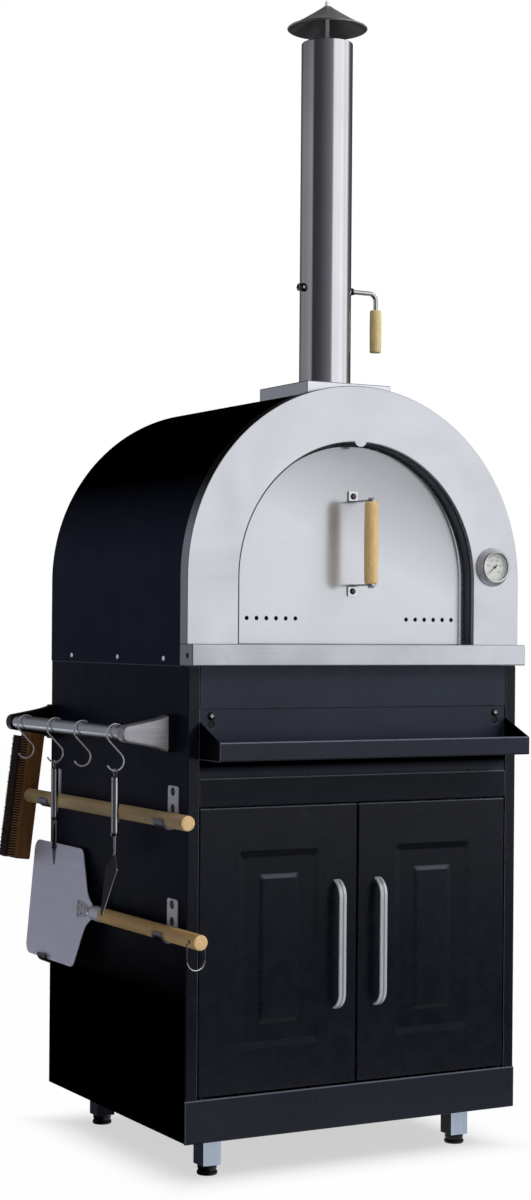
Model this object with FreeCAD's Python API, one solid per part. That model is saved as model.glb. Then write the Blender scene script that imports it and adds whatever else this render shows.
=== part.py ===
import FreeCAD, Part
import math
import os

Vec = FreeCAD.Vector

# Driving sizes in millimetres. The model is drawn with X = 0 on the cabinet's middle,
# Y = 0 on the cabinet's front sheet, Z = 0 on the floor, and is moved to its own frame at the end.
CABINET_WIDTH = 650.0
CABINET_DEPTH = 560.0
CABINET_HEIGHT = 779.5
SHEET = 1.5
GAP = 0.3
RUNNING_PLAY = 0.08
SCREW_SHANK = 2.2
SCREW_HEAD = 4.0
SCREW_HEAD_HEIGHT = 2.2
SCREW_REACH = 6.0

# Feet and legs
FOOT_HEIGHT = 16.2
FOOT_RADIUS = 17.5
STEM_RADIUS = 5.0
STEM_LENGTH = 55.0
FOOT_BEVEL = 2.0
LEG_SIDE = 35.0
LEG_WALL = 2.0
LEG_PLUG = 6.0
LEG_VISIBLE = 55.0
LEG_SIDE_INSET = 77.4
LEG_INSET = 70.0

# Cabinet front
PLINTH_HEIGHT = 68.0
DOOR_FLOOR_GAP = 5.0
DOOR_TOP_GAP = 2.0
HEADER_HEIGHT = 47.0
UPPER_PANEL_HEIGHT = 70.5
STILE_WIDTH = 21.0
REAR_FLANGE = 20.0
PANEL_SIDE_GAP = 0.5
RECESS_DEPTH = 4.0
HEADER_SHELF = 30.0

# Cabinet doors
DOOR_DEPTH = 18.0
DOOR_CENTRE_GAP = 3.0
DOOR_EDGE_GAP = 2.0
EMBOSS_OUTER = (152.0, 327.0)
EMBOSS_INNER = (65.0, 236.0)
EMBOSS_DEPTH = 2.5
EMBOSS_SLOPE = 4.0
HINGE_INSET = 6.0
HINGE_DEPTH = 7.5
HINGE_PIN_RADIUS = 3.0
HINGE_HOLE_RADIUS = 3.3
HINGE_COLLAR_RADIUS = 6.0
HINGE_PIN_REACH = 8.0
HINGE_HEAD = 4.0
HANDLE_X = 40.5
HANDLE_LENGTH = 219.0
HANDLE_WIDTH = 14.0
HANDLE_THICK = 4.0
HANDLE_STANDOFF = 22.0
HANDLE_END = 29.0
CATCH_WIDTH = 60.0
CATCH_DEPTH = 11.0
CATCH_HEIGHT = 14.0

# Cabinet inside
SHELF_HEIGHT = 375.0
SHELF_SETBACK = 40.0
SHELF_LIP = 25.0
DECK_UPSTAND = 18.0
UPSTAND_SETBACK = 2.0

# Front tray
TRAY_REACH = 72.0
TRAY_FLOOR_DROP = 83.0
TRAY_HEADER_GAP = 31.5
TRAY_LIP = 31.0
TRAY_CHEEK = 61.0
TRAY_HEM = 6.0
TRAY_PLATE_GAP = 0.2
TRAY_LAP = 9.0
TRAY_SCREW_INSET = 22.5
TRAY_SCREW_DROP = 12.0
TRAY_SCREW_RADIUS = 3.0
TRAY_SLOT_RADIUS = 3.3
TRAY_KEY_RADIUS = 7.2
TRAY_SCREW_HEAD = 6.5
TRAY_HEAD_HEIGHT = 4.0
TRAY_HEAD_GAP = 0.2
TRAY_LIFT = 14.0

# Oven shell and base rail
RAIL_HEIGHT = 36.0
RAIL_FRONT = 22.0
RAIL_OVERHANG = 4.5
SILL_MARGIN = 3.0
ARCH_RISE = 110.5
FASCIA_PROUD = 2.0
FASCIA_RETURN = 24.0
OPENING_RADIUS = 233.0
OPENING_RETURN = 8.0
TAB_RADIUS = 12.0
TAB_DROP = 8.0
MOUTH_LAP = 12.0
CHAMBER_SHEET = 2.0
INSULATION_THICK = 39.0
REAR_INSULATION = 36.5
STONE_THICK = 25.0
INSULATION_LIFT = 3.0
STONE_PLAY = 0.5
CASING_SCREW_Y = (88.8, 268.9, 464.6)
CASING_SCREW_RISE = 11.0

# Oven door
OVEN_DOOR_MARGIN = 13.0
OVEN_DOOR_SETBACK = 2.0
OVEN_DOOR_SHEET = 2.0
OVEN_DOOR_DEPTH = 6.0
OVEN_DOOR_TOP_GAP = 9.3
VENT_RADIUS = 3.5
VENT_PITCH = 18.7
VENT_INSET = 16.0
VENT_COUNT = 6
VENT_RISE = 43.0
PAN_PLAY = 4.0
PAN_RISE = 59.0
PAN_DEPTH = 28.0
GASKET_THICK = 3.0
GASKET_WIDTH = 10.0
GASKET_MARGIN = 1.0
GRIP_RISE = 171.5
GRIP_LENGTH = 139.0
GRIP_RADIUS = 12.0
GRIP_STANDOFF = 62.0
GRIP_BRACKET_WIDTH = 18.0
GRIP_BRACKET_THICK = 3.0
GRIP_FOOT = 20.0
GRIP_BOLT_RADIUS = 3.0
GRIP_NUT_RADIUS = 5.5
GRIP_NUT_HEIGHT = 4.0
GRIP_SCREW_RADIUS = 4.0
GRIP_SCREW_HEIGHT = 2.5
GRIP_SWELL = 1.2
GRIP_END_TAPER = 4.0

# Chimney
FLUE_Y = 123.0
FLUE_RADIUS = 45.0
FLUE_WALL = 1.5
FLUE_RISE = 600.2
COLLAR_SIDE = 168.0
COLLAR_RISE = 10.8
COLLAR_PLAY = 0.1
CAP_GAP = 26.7
CAP_RADIUS = 68.0
CAP_RISE = 42.3
CAP_SHEET = 1.2
CAP_STEM_RADIUS = 3.0
CAP_NUT_RADIUS = 4.5
CAP_NUT_HEIGHT = 8.0
CAP_BRACKET_DROP = 12.0
CAP_STRAP_WIDTH = 10.0
CAP_STRAP_THICK = 2.0
CAP_BEAD = 1.8
DAMPER_RISE = 171.7
DAMPER_ROD_RADIUS = 4.0
DAMPER_NUT_RADIUS = 7.0
DAMPER_NUT_LENGTH = 5.7
DAMPER_PLATE_PLAY = 1.5
DAMPER_ARM = 58.5
DAMPER_BEND = 13.0
DAMPER_GRIP_DROP = 28.9
DAMPER_GRIP_LENGTH = 75.0
DAMPER_GRIP_RADIUS = 10.5
DAMPER_GRIP_SOCKET = 20.0
DAMPER_GRIP_BEVEL = 2.0
BUSH_RADIUS = 7.5
BUSH_PROUD = 4.0

# Thermometer
THERMO_INSET = 55.5
THERMO_RISE = 26.0
THERMO_BASE_RADIUS = 34.0
THERMO_FACE_RADIUS = 27.0
THERMO_DEPTH = 14.0
THERMO_WALL = 3.5
THERMO_RIM = 1.5
THERMO_LIP = 2.0
THERMO_FLOOR = 4.0
DIAL_THICK = 0.8
DIAL_PLAY = 0.2
GLASS_THICK = 1.5
GLASS_INSET = 2.0
PROBE_RADIUS = 3.0
PROBE_END = 110.0
PIVOT_RADIUS = 1.0
PIVOT_LENGTH = 2.2
NEEDLE_LENGTH = 18.0
NEEDLE_TAIL = 6.0
NEEDLE_WIDTH = 2.4
NEEDLE_TIP = 0.6
NEEDLE_THICK = 0.8
NEEDLE_HUB = 2.4
NEEDLE_REST_DEG = -130.0

# Rail bar and hooks on the left side
BAR_DROP = 112.0
BAR_STANDOFF = 80.6
BAR_RADIUS = 12.25
BAR_FRONT_Y = 58.0
BAR_REAR_INSET = 23.0
BAR_BRACKET_TALL = 59.5
BAR_BRACKET_DEPTH = 25.0
BAR_SOCKET_WALL = 1.75
BAR_FLANGE = 2.0
S_WIRE = 1.5
S_TOP_EASE = 3.75
S_LOW_RADIUS = 15.5
S_LOW_DROP = 47.5
S_TIP_DEG = 50.0
S_END_DEG = 205.0
S_HOOKS_FROM_REAR = (50.0, 181.5)
S_HOOKS_FROM_FRONT = (180.5, 47.0)

# Strap hooks and long tools
POLE_RADIUS = 12.75
HOOK_STRAP = 2.5
HOOK_WIDTH = 37.0
HOOK_PLATE = 55.0
HOOK_LIP = 2.0
HOOK_HOLES = (18.0, 45.5)
HOOK_SCREW_HEAD = 3.6
HOOK_SINK = 1.5
HOOK_FRONT_Y = 48.5
HOOK_REAR_INSET = 31.5
BRUSH_POLE_DROP = 253.5
BRUSH_POLE_FRONT = -35.0
BRUSH_OVERHANG = 60.0
BRUSH_BLOCK_THICK = 31.0
BRUSH_BLOCK_DEPTH = 44.0
BRUSH_BLOCK_LENGTH = 240.0
BRISTLE_REACH = 25.0
BRISTLE_DEPTH = 34.0
BRISTLE_LENGTH = 226.0
BRISTLE_DROP = 12.0
BRUSH_TILT_DEG = 7.0
BRUSH_SOCKET = 25.0
POLE_SPACING = 186.0
PEEL_POLE_FRONT = -83.0
PEEL_TILT_DEG = 5.2
PEEL_HALF_WIDTH = 105.5
PEEL_OVERHANG = 53.0
PEEL_BLADE_LENGTH = 215.0
PEEL_SHOULDER_LENGTH = 37.0
PEEL_WAIST_LENGTH = 34.0
PEEL_WAIST_HALF = 28.0
PEEL_NECK_GAP = 5.0
PEEL_NECK_HALF = 6.0
PEEL_THICK = 2.0
PEEL_CORNER = 20.0
PEEL_SHOULDER_CORNER = 16.0
PEEL_WAIST_CORNER = 40.0
PEEL_SOCKET = 26.0
PEEL_SOCKET_END = 8.0
PEEL_LOOP_Y = -65.0
PEEL_LOOP_WIRE = 1.25
PEEL_LOOP_TURN = 3.0
PEEL_LOOP_HALF = 16.5
PEEL_LOOP_DROP = 30.0

# Small tools on the hooks
EYE_RADIUS = 6.0
EYE_WIRE = 1.2
TOOL_HANDLE_RADIUS = 6.6
TOOL_HANDLE_BEVEL = 2.0
FORK_ARM = 2.0
FORK_SPAN = 3.4
FORK_WIDTH = 8.0
FORK_BRIDGE = 8.0
CUTTER_HANDLE_LENGTH = 92.0
CUTTER_WHEEL_DROP = 47.0
CUTTER_WHEEL_RADIUS = 31.4
CUTTER_TWIST_DEG = -28.9
CUTTER_AXLE_RADIUS = 2.0
WHEEL_HUB_RADIUS = 9.0
WHEEL_HUB_THICK = 2.4
WHEEL_THICK = 1.6
WHEEL_EDGE = 0.3
WHEEL_BEVEL = 5.0
SERVER_HANDLE_LENGTH = 99.0
SERVER_SHAFT_LENGTH = 29.0
SERVER_BLADE_LENGTH = 103.0
SERVER_BLADE_WIDTH = 44.0
SERVER_BLADE_SLANT_DEG = 13.0
SERVER_BLADE_THICK = 1.5
SERVER_SHAFT_RADIUS = 2.5
SERVER_SHOULDER = 24.0
SERVER_TIP = 6.0

# Heights and planes that follow from the driving sizes
HALF = CABINET_WIDTH / 2
INNER_X = HALF - SHEET
OPEN_X = HALF - STILE_WIDTH
BACK_Y = CABINET_DEPTH - SHEET
PANEL_BACK_Y = BACK_Y - SHEET
LEG_X = HALF - LEG_SIDE_INSET
LEG_GROUND_GAP = FOOT_HEIGHT + GAP
BASE_Z = LEG_GROUND_GAP + LEG_VISIBLE
PLINTH_Z = BASE_Z + PLINTH_HEIGHT
TOP_Z = BASE_Z + CABINET_HEIGHT
UPPER_Z0 = TOP_Z - UPPER_PANEL_HEIGHT
TRAY_FLOOR = UPPER_Z0 - TRAY_FLOOR_DROP
HEADER_Z1 = TRAY_FLOOR - TRAY_HEADER_GAP
HEADER_Z0 = HEADER_Z1 - HEADER_HEIGHT
DOOR_Z0 = PLINTH_Z + DOOR_FLOOR_GAP
DOOR_Z1 = HEADER_Z0 - DOOR_TOP_GAP
HINGE_X = OPEN_X - DOOR_EDGE_GAP - HINGE_INSET
TRAY_PLATE_Y = RECESS_DEPTH - SHEET - TRAY_PLATE_GAP
TRAY_SCREW_X = OPEN_X - TRAY_SCREW_INSET
TRAY_SCREW_Z = UPPER_Z0 - TRAY_SCREW_DROP

# Oven shell
RAIL_TOP = TOP_Z + RAIL_HEIGHT
RAIL_BACK = FASCIA_RETURN
UPSTAND_Y = FASCIA_RETURN + UPSTAND_SETBACK
SCREW_Z = TOP_Z + CASING_SCREW_RISE
ARCH_Z = RAIL_TOP + ARCH_RISE
CASING_RADIUS = HALF + SHEET
CASING_INNER = CASING_RADIUS - SHEET
FASCIA_RADIUS = CASING_RADIUS + FASCIA_PROUD
CHAMBER_OUTER = CASING_INNER - INSULATION_THICK
CHAMBER_RADIUS = CHAMBER_OUTER - CHAMBER_SHEET
INSULATION_Z = TOP_Z + DECK_UPSTAND + INSULATION_LIFT
OVEN_DOOR_RADIUS = OPENING_RADIUS - OVEN_DOOR_MARGIN
OVEN_DOOR_TOP = ARCH_Z + OPENING_RADIUS - OVEN_DOOR_TOP_GAP
OVEN_DOOR_CENTRE = OVEN_DOOR_TOP - OVEN_DOOR_RADIUS
MOUTH_RADIUS = OVEN_DOOR_RADIUS - MOUTH_LAP
PAN_RADIUS = MOUTH_RADIUS - PAN_PLAY
GASKET_INNER = MOUTH_RADIUS + GASKET_MARGIN
OVEN_DOOR_Y = RAIL_BACK + OVEN_DOOR_SETBACK
PAN_BACK = OVEN_DOOR_Y + OVEN_DOOR_SHEET + PAN_DEPTH
GASKET_FRONT = OVEN_DOOR_Y + OVEN_DOOR_DEPTH
OVEN_DOOR_RIM = GASKET_FRONT - GAP
WALL_Y0 = GASKET_FRONT + GASKET_THICK
WALL_Y1 = WALL_Y0 + CHAMBER_SHEET
CHAMBER_BACK = BACK_Y - REAR_INSULATION
GRIP_Z = RAIL_TOP + GRIP_RISE
GRIP_Y = OVEN_DOOR_Y - GRIP_STANDOFF

# Chimney and thermometer
COLLAR_TOP = ARCH_Z + CASING_RADIUS + COLLAR_RISE
FLUE_TOP = COLLAR_TOP + FLUE_RISE
CAP_RIM_Z = FLUE_TOP + CAP_GAP
CAP_APEX_Z = CAP_RIM_Z + CAP_RISE
DAMPER_Z = COLLAR_TOP + DAMPER_RISE
DAMPER_PLATE_RADIUS = FLUE_RADIUS - FLUE_WALL - DAMPER_PLATE_PLAY
DAMPER_REACH = FLUE_RADIUS + DAMPER_ARM
DAMPER_GRIP_TOP = DAMPER_Z - DAMPER_GRIP_DROP
BUSH_REACH = FLUE_RADIUS + BUSH_PROUD
THERMO_X = FASCIA_RADIUS - THERMO_INSET
THERMO_Z = ARCH_Z + THERMO_RISE
THERMO_BORE_RADIUS = THERMO_FACE_RADIUS - THERMO_WALL
PROBE_HOLE = PROBE_RADIUS + GAP
DIAL_Y = -THERMO_FLOOR - DIAL_THICK
NEEDLE_Y = DIAL_Y - PIVOT_LENGTH

# Side bar, hooks and tools
BAR_X = -HALF - BAR_STANDOFF
BAR_Z = TOP_Z - BAR_DROP
BAR_REAR_Y = CABINET_DEPTH - BAR_REAR_INSET
BAR_BRACKET_NOSE = BAR_RADIUS + BAR_SOCKET_WALL
S_HOOK_Y = tuple(BAR_REAR_Y - inset for inset in S_HOOKS_FROM_REAR) + tuple(
    BAR_FRONT_Y + inset for inset in S_HOOKS_FROM_FRONT)
S_TOP_RADIUS = BAR_RADIUS + S_TOP_EASE
S_TOP_Z = BAR_Z + BAR_RADIUS + GAP + S_WIRE - S_TOP_RADIUS
S_LOW_Z = BAR_Z - S_LOW_DROP
S_WIRE_LOW_Z = S_LOW_Z - S_LOW_RADIUS
EYE_Z = S_WIRE_LOW_Z + S_WIRE + GAP + EYE_WIRE - EYE_RADIUS
TOOL_TOP_Z = EYE_Z - EYE_RADIUS - EYE_WIRE / 2
CUTTER_AXLE_Z = TOOL_TOP_Z - CUTTER_HANDLE_LENGTH - CUTTER_WHEEL_DROP
POLE_X = -HALF - HOOK_STRAP - GAP - POLE_RADIUS
HOOK_REAR_Y = CABINET_DEPTH - HOOK_REAR_INSET
BRUSH_POLE_Z = TOP_Z - BRUSH_POLE_DROP
BRUSH_BLOCK_Y = CABINET_DEPTH + BRUSH_OVERHANG
PEEL_POLE_Z = BRUSH_POLE_Z - POLE_SPACING
PEEL_FAR_Y = CABINET_DEPTH + PEEL_OVERHANG
PEEL_SHOULDER_Y = PEEL_FAR_Y - PEEL_BLADE_LENGTH
PEEL_WAIST_Y = PEEL_SHOULDER_Y - PEEL_SHOULDER_LENGTH
PEEL_NECK_Y = PEEL_WAIST_Y - PEEL_WAIST_LENGTH
PEEL_POLE_REAR = PEEL_NECK_Y - PEEL_NECK_GAP


def box(x0, x1, y0, y1, z0, z1):
    return Part.makeBox(x1 - x0, y1 - y0, z1 - z0, Vec(x0, y0, z0))


def rod(start, end, radius):
    a, b = Vec(*start), Vec(*end)
    return Part.makeCylinder(radius, (b - a).Length, a, b - a)


def drill(shape, start, end, radius):
    return shape.cut(rod(start, end, radius))


def ring(start, end, outer, inner):
    return rod(start, end, outer).cut(rod(start, end, inner))


def union(shapes):
    result = shapes[0]
    for shape in shapes[1:]:
        result = result.fuse(shape)
    return result.removeSplitter()


def group(shapes):
    return Part.makeCompound(shapes)


def mirror_x(shape):
    return shape.mirror(Vec(0, 0, 0), Vec(1, 0, 0))


def arch(radius, y0, y1, floor_z, centre_z=None):
    """A solid with upright sides and a half-round top, seen along Y."""
    top = ARCH_Z if centre_z is None else centre_z
    left, right = Vec(-radius, y0, top), Vec(radius, y0, top)
    left_low, right_low = Vec(-radius, y0, floor_z), Vec(radius, y0, floor_z)
    edges = [
        Part.makeLine(left_low, right_low),
        Part.makeLine(right_low, right),
        Part.Arc(right, Vec(0, y0, top + radius), left).toShape(),
        Part.makeLine(left, left_low),
    ]
    return Part.Face(Part.Wire(edges)).extrude(Vec(0, y1 - y0, 0))


def arch_shell(outer, inner, y0, y1, floor_z, centre_z=None):
    shell = arch(outer, y0, y1, floor_z, centre_z)
    return shell.cut(arch(inner, y0 - 1, y1 + 1, floor_z - 1, centre_z))


def prism_xz(points, y0, y1):
    """A polygon in the XZ plane, pushed along Y."""
    loop = [Vec(x, y0, z) for x, z in points]
    return Part.Face(Part.makePolygon(loop + loop[:1])).extrude(Vec(0, y1 - y0, 0))


def prism_yz(points, x0, x1):
    loop = [Vec(x0, y, z) for y, z in points]
    return Part.Face(Part.makePolygon(loop + loop[:1])).extrude(Vec(x1 - x0, 0, 0))


def frustum_y(cx, cz, front, back, y0, y1):
    """A block that tapers along Y from one rectangle to another, both centred at cx, cz."""
    return Part.makeWedge(
        cx - front[0] / 2, y0, cz - front[1] / 2, cz - back[1] / 2, cx - back[0] / 2,
        cx + front[0] / 2, y1, cz + front[1] / 2, cz + back[1] / 2, cx + back[0] / 2,
    )


def turned_z(points, x, y):
    """A solid turned about an upright axis through x, y from (radius, z) points."""
    loop = [Vec(x + r, y, z) for r, z in points]
    face = Part.Face(Part.makePolygon(loop + loop[:1]))
    return face.revolve(Vec(x, y, 0), Vec(0, 0, 1), 360)


def turned_y(points, x, z):
    """A solid turned about an axis along Y through x, z from (radius, y) points."""
    loop = [Vec(x + r, y, z) for r, y in points]
    face = Part.Face(Part.makePolygon(loop + loop[:1]))
    return face.revolve(Vec(x, 0, z), Vec(0, 1, 0), 360)


def swept(edges, radius):
    """A round wire along edges that run on smoothly."""
    path = Part.Wire(edges)
    first = edges[0]
    start = first.valueAt(first.FirstParameter)
    direction = first.tangentAt(first.FirstParameter)
    profile = Part.Wire([Part.makeCircle(radius, start, direction)])
    return path.makePipeShell([profile], True, False)


def side_panel():
    shape = union([
        box(-HALF, -INNER_X, 0, CABINET_DEPTH, BASE_Z, TOP_Z),
        box(-HALF, -OPEN_X, 0, SHEET, PLINTH_Z, TOP_Z),
        box(-HALF, -HALF + REAR_FLANGE, BACK_Y, CABINET_DEPTH, BASE_Z, TOP_Z),
    ])
    shape = shape.cut(box(-HALF, 0, 0, SHEET, BASE_Z, PLINTH_Z))
    return shape.cut(box(-HALF, -INNER_X, UPSTAND_Y, BACK_Y, TOP_Z - SHEET, TOP_Z))


def cabinet_base():
    block = box(-INNER_X, INNER_X, 0, PANEL_BACK_Y, BASE_Z, PLINTH_Z)
    plinth = box(-HALF, HALF, 0, SHEET, BASE_Z, PLINTH_Z)
    hollow = box(-INNER_X + SHEET, INNER_X - SHEET, SHEET, PANEL_BACK_Y - SHEET, BASE_Z, PLINTH_Z - SHEET)
    shape = block.fuse(plinth).cut(hollow).removeSplitter()
    for x in (-HINGE_X, HINGE_X):
        shape = drill(shape, (x, HINGE_DEPTH, PLINTH_Z - SHEET), (x, HINGE_DEPTH, PLINTH_Z), HINGE_PIN_RADIUS)
    return shape


def casing_holes(shape):
    for y in CASING_SCREW_Y:
        shape = drill(shape, (-CASING_RADIUS, y, SCREW_Z), (-INNER_X, y, SCREW_Z), SCREW_SHANK)
        shape = drill(shape, (INNER_X, y, SCREW_Z), (CASING_RADIUS, y, SCREW_Z), SCREW_SHANK)
    return shape


def cabinet_deck():
    plate = box(-INNER_X, INNER_X, SHEET, BACK_Y, TOP_Z - SHEET, TOP_Z)
    fold = box(-INNER_X, INNER_X, RECESS_DEPTH, RECESS_DEPTH + SHEET, HEADER_Z1 - SHEET, TOP_Z)
    parts = [plate, fold]
    for x in (-HALF, INNER_X):
        parts.append(box(x, x + SHEET, UPSTAND_Y, BACK_Y, TOP_Z - SHEET, TOP_Z + DECK_UPSTAND))
    shape = casing_holes(union(parts))
    for x in (-TRAY_SCREW_X, TRAY_SCREW_X):
        shape = drill(shape, (x, RECESS_DEPTH, TRAY_SCREW_Z), (x, RECESS_DEPTH + SHEET, TRAY_SCREW_Z),
                      TRAY_SCREW_RADIUS)
    return shape


def door_header():
    width = OPEN_X - PANEL_SIDE_GAP
    shape = union([
        box(-width, width, 0, SHEET, HEADER_Z0, HEADER_Z1),
        box(-width, width, 0, RECESS_DEPTH, HEADER_Z1 - SHEET, HEADER_Z1),
        box(-INNER_X, INNER_X, SHEET, HEADER_SHELF, HEADER_Z0, HEADER_Z0 + SHEET),
    ])
    for x in (-HINGE_X, HINGE_X):
        shape = drill(shape, (x, HINGE_DEPTH, HEADER_Z0), (x, HINGE_DEPTH, HEADER_Z0 + SHEET),
                      HINGE_PIN_RADIUS)
    return shape


def cabinet_shelf():
    front, back = SHELF_SETBACK, PANEL_BACK_Y
    return union([
        box(-INNER_X, INNER_X, front, back, SHELF_HEIGHT, SHELF_HEIGHT + SHEET),
        box(-INNER_X, INNER_X, front, front + SHEET, SHELF_HEIGHT - SHELF_LIP, SHELF_HEIGHT + SHEET),
        box(-INNER_X, INNER_X, back - SHEET, back, SHELF_HEIGHT - SHELF_LIP, SHELF_HEIGHT + SHEET),
    ])


def front_tray():
    width = OPEN_X - PANEL_SIDE_GAP
    back = TRAY_PLATE_Y + SHEET
    cheek = [(-TRAY_REACH, TRAY_FLOOR), (-TRAY_REACH, TRAY_FLOOR + TRAY_LIP),
             (back, TRAY_FLOOR + TRAY_CHEEK), (back, TRAY_FLOOR)]
    lip_top = TRAY_FLOOR + TRAY_LIP
    shape = union([
        box(-width, width, TRAY_PLATE_Y, back, HEADER_Z1 + GAP, UPPER_Z0 + TRAY_LAP),
        box(-width, width, -TRAY_REACH, back, TRAY_FLOOR, TRAY_FLOOR + SHEET),
        box(-width, width, -TRAY_REACH, -TRAY_REACH + SHEET, TRAY_FLOOR, lip_top),
        box(-width, width, -TRAY_REACH, -TRAY_REACH + TRAY_HEM, lip_top - SHEET, lip_top),
        prism_yz(cheek, -width, -width + SHEET),
        prism_yz(cheek, width - SHEET, width),
    ])
    key_z = TRAY_SCREW_Z - TRAY_LIFT
    for x in (-TRAY_SCREW_X, TRAY_SCREW_X):
        shape = drill(shape, (x, TRAY_PLATE_Y, TRAY_SCREW_Z), (x, back, TRAY_SCREW_Z), TRAY_SLOT_RADIUS)
        slot = box(x - TRAY_SLOT_RADIUS, x + TRAY_SLOT_RADIUS, TRAY_PLATE_Y, back, key_z, TRAY_SCREW_Z)
        shape = drill(shape.cut(slot), (x, TRAY_PLATE_Y, key_z), (x, back, key_z), TRAY_KEY_RADIUS)
    return shape


def left_door():
    x0 = -OPEN_X + DOOR_EDGE_GAP
    x1 = -DOOR_CENTRE_GAP / 2
    shell = box(x0, x1, 0, DOOR_DEPTH, DOOR_Z0, DOOR_Z1)
    shell = shell.cut(box(x0 + SHEET, x1 - SHEET, SHEET, DOOR_DEPTH, DOOR_Z0 + SHEET, DOOR_Z1 - SHEET))
    cx, cz = (x0 + x1) / 2, (DOOR_Z0 + DOOR_Z1) / 2
    slope = 2 * EMBOSS_SLOPE
    outer_floor = (EMBOSS_OUTER[0] - slope, EMBOSS_OUTER[1] - slope)
    inner_floor = (EMBOSS_INNER[0] + slope, EMBOSS_INNER[1] + slope)
    backing = frustum_y(cx, cz, EMBOSS_OUTER, outer_floor, SHEET, SHEET + EMBOSS_DEPTH)
    pocket = frustum_y(cx, cz, EMBOSS_OUTER, outer_floor, 0, EMBOSS_DEPTH)
    field = frustum_y(cx, cz, EMBOSS_INNER, inner_floor, 0, EMBOSS_DEPTH)
    shell = shell.fuse(backing).cut(pocket).fuse(field).removeSplitter()
    for z in (DOOR_Z0, DOOR_Z1 - SHEET):
        shell = drill(shell, (-HINGE_X, HINGE_DEPTH, z), (-HINGE_X, HINGE_DEPTH, z + SHEET),
                      HINGE_HOLE_RADIUS)
    return shell


def door_handle():
    """A flat bow handle whose ends curve back to the door."""
    half = HANDLE_LENGTH / 2
    out = HANDLE_STANDOFF
    z = (DOOR_Z0 + DOOR_Z1) / 2
    radius = (out ** 2 + HANDLE_END ** 2) / (2 * out)

    def bow(reach, end, arc_radius):
        angle = math.asin(end / arc_radius) / 2
        mid_y = -reach + arc_radius * (1 - math.cos(angle))
        mid_z = half - HANDLE_END + arc_radius * math.sin(angle)
        low, high = z - half + HANDLE_END, z + half - HANDLE_END
        top = Part.Arc(Vec(0, -reach, high), Vec(0, mid_y, z + mid_z), Vec(0, 0, high + end)).toShape()
        bottom = Part.Arc(Vec(0, 0, low - end), Vec(0, mid_y, z - mid_z), Vec(0, -reach, low)).toShape()
        edges = [
            bottom,
            Part.makeLine(Vec(0, -reach, low), Vec(0, -reach, high)),
            top,
            Part.makeLine(Vec(0, 0, high + end), Vec(0, 0, low - end)),
        ]
        face = Part.Face(Part.Wire(edges))
        return face.extrude(Vec(HANDLE_WIDTH, 0, 0))

    inner_reach = out - HANDLE_THICK
    inner_radius = radius - HANDLE_THICK
    inner_end = math.sqrt(inner_radius ** 2 - (inner_radius - inner_reach) ** 2)
    shape = bow(out, HANDLE_END, radius).cut(bow(inner_reach, inner_end, inner_radius))
    shape.translate(Vec(-HANDLE_X - HANDLE_WIDTH / 2, 0, 0))
    return shape


def hinge_pins():
    pins = []
    for x in (-HINGE_X, HINGE_X):
        pin_top = DOOR_Z0 + HINGE_PIN_REACH
        low = rod((x, HINGE_DEPTH, PLINTH_Z - SHEET), (x, HINGE_DEPTH, pin_top), HINGE_PIN_RADIUS)
        collar = rod((x, HINGE_DEPTH, PLINTH_Z), (x, HINGE_DEPTH, DOOR_Z0 - GAP), HINGE_COLLAR_RADIUS)
        pins.append(low.fuse(collar).removeSplitter())
        head_z = HEADER_Z0 + SHEET
        high = rod((x, HINGE_DEPTH, DOOR_Z1 - HINGE_PIN_REACH), (x, HINGE_DEPTH, head_z), HINGE_PIN_RADIUS)
        head = rod((x, HINGE_DEPTH, head_z), (x, HINGE_DEPTH, head_z + HINGE_HEAD), HINGE_COLLAR_RADIUS)
        pins.append(high.fuse(head).removeSplitter())
    return group(pins)


def door_catch():
    y0 = DOOR_DEPTH + GAP
    return box(-CATCH_WIDTH / 2, CATCH_WIDTH / 2, y0, y0 + CATCH_DEPTH, HEADER_Z0 - CATCH_HEIGHT, HEADER_Z0)


def legs():
    made = []
    half = LEG_SIDE / 2
    top = PLINTH_Z - SHEET
    for x in (-LEG_X, LEG_X):
        for y in (LEG_INSET, CABINET_DEPTH - LEG_INSET):
            tube = box(x - half, x + half, y - half, y + half, LEG_GROUND_GAP, top)
            inner = half - LEG_WALL
            tube = tube.cut(box(x - inner, x + inner, y - inner, y + inner, LEG_GROUND_GAP + LEG_PLUG, top))
            made.append(drill(tube, (x, y, LEG_GROUND_GAP), (x, y, LEG_GROUND_GAP + LEG_PLUG),
                              STEM_RADIUS + RUNNING_PLAY))
    return group(made)


def foot(x, y):
    rim = FOOT_RADIUS - FOOT_BEVEL
    stem_top = FOOT_HEIGHT + STEM_LENGTH
    return turned_z([
        (0, 0), (rim, 0), (FOOT_RADIUS, FOOT_BEVEL), (FOOT_RADIUS, FOOT_HEIGHT - FOOT_BEVEL),
        (rim, FOOT_HEIGHT), (STEM_RADIUS, FOOT_HEIGHT), (STEM_RADIUS, stem_top), (0, stem_top),
    ], x, y)


def front_rail():
    reach = HALF + RAIL_OVERHANG
    shape = box(-reach, reach, -RAIL_FRONT, RAIL_BACK, TOP_Z, RAIL_TOP)
    shape = shape.cut(box(-reach + SHEET, reach - SHEET, -RAIL_FRONT + SHEET, RAIL_BACK,
                          TOP_Z + SHEET, RAIL_TOP - SHEET))
    sill_x = OPENING_RADIUS + SILL_MARGIN
    sill = box(-sill_x, sill_x, RAIL_BACK, WALL_Y0, RAIL_TOP - SHEET, RAIL_TOP)
    return shape.fuse(sill).removeSplitter()


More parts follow.
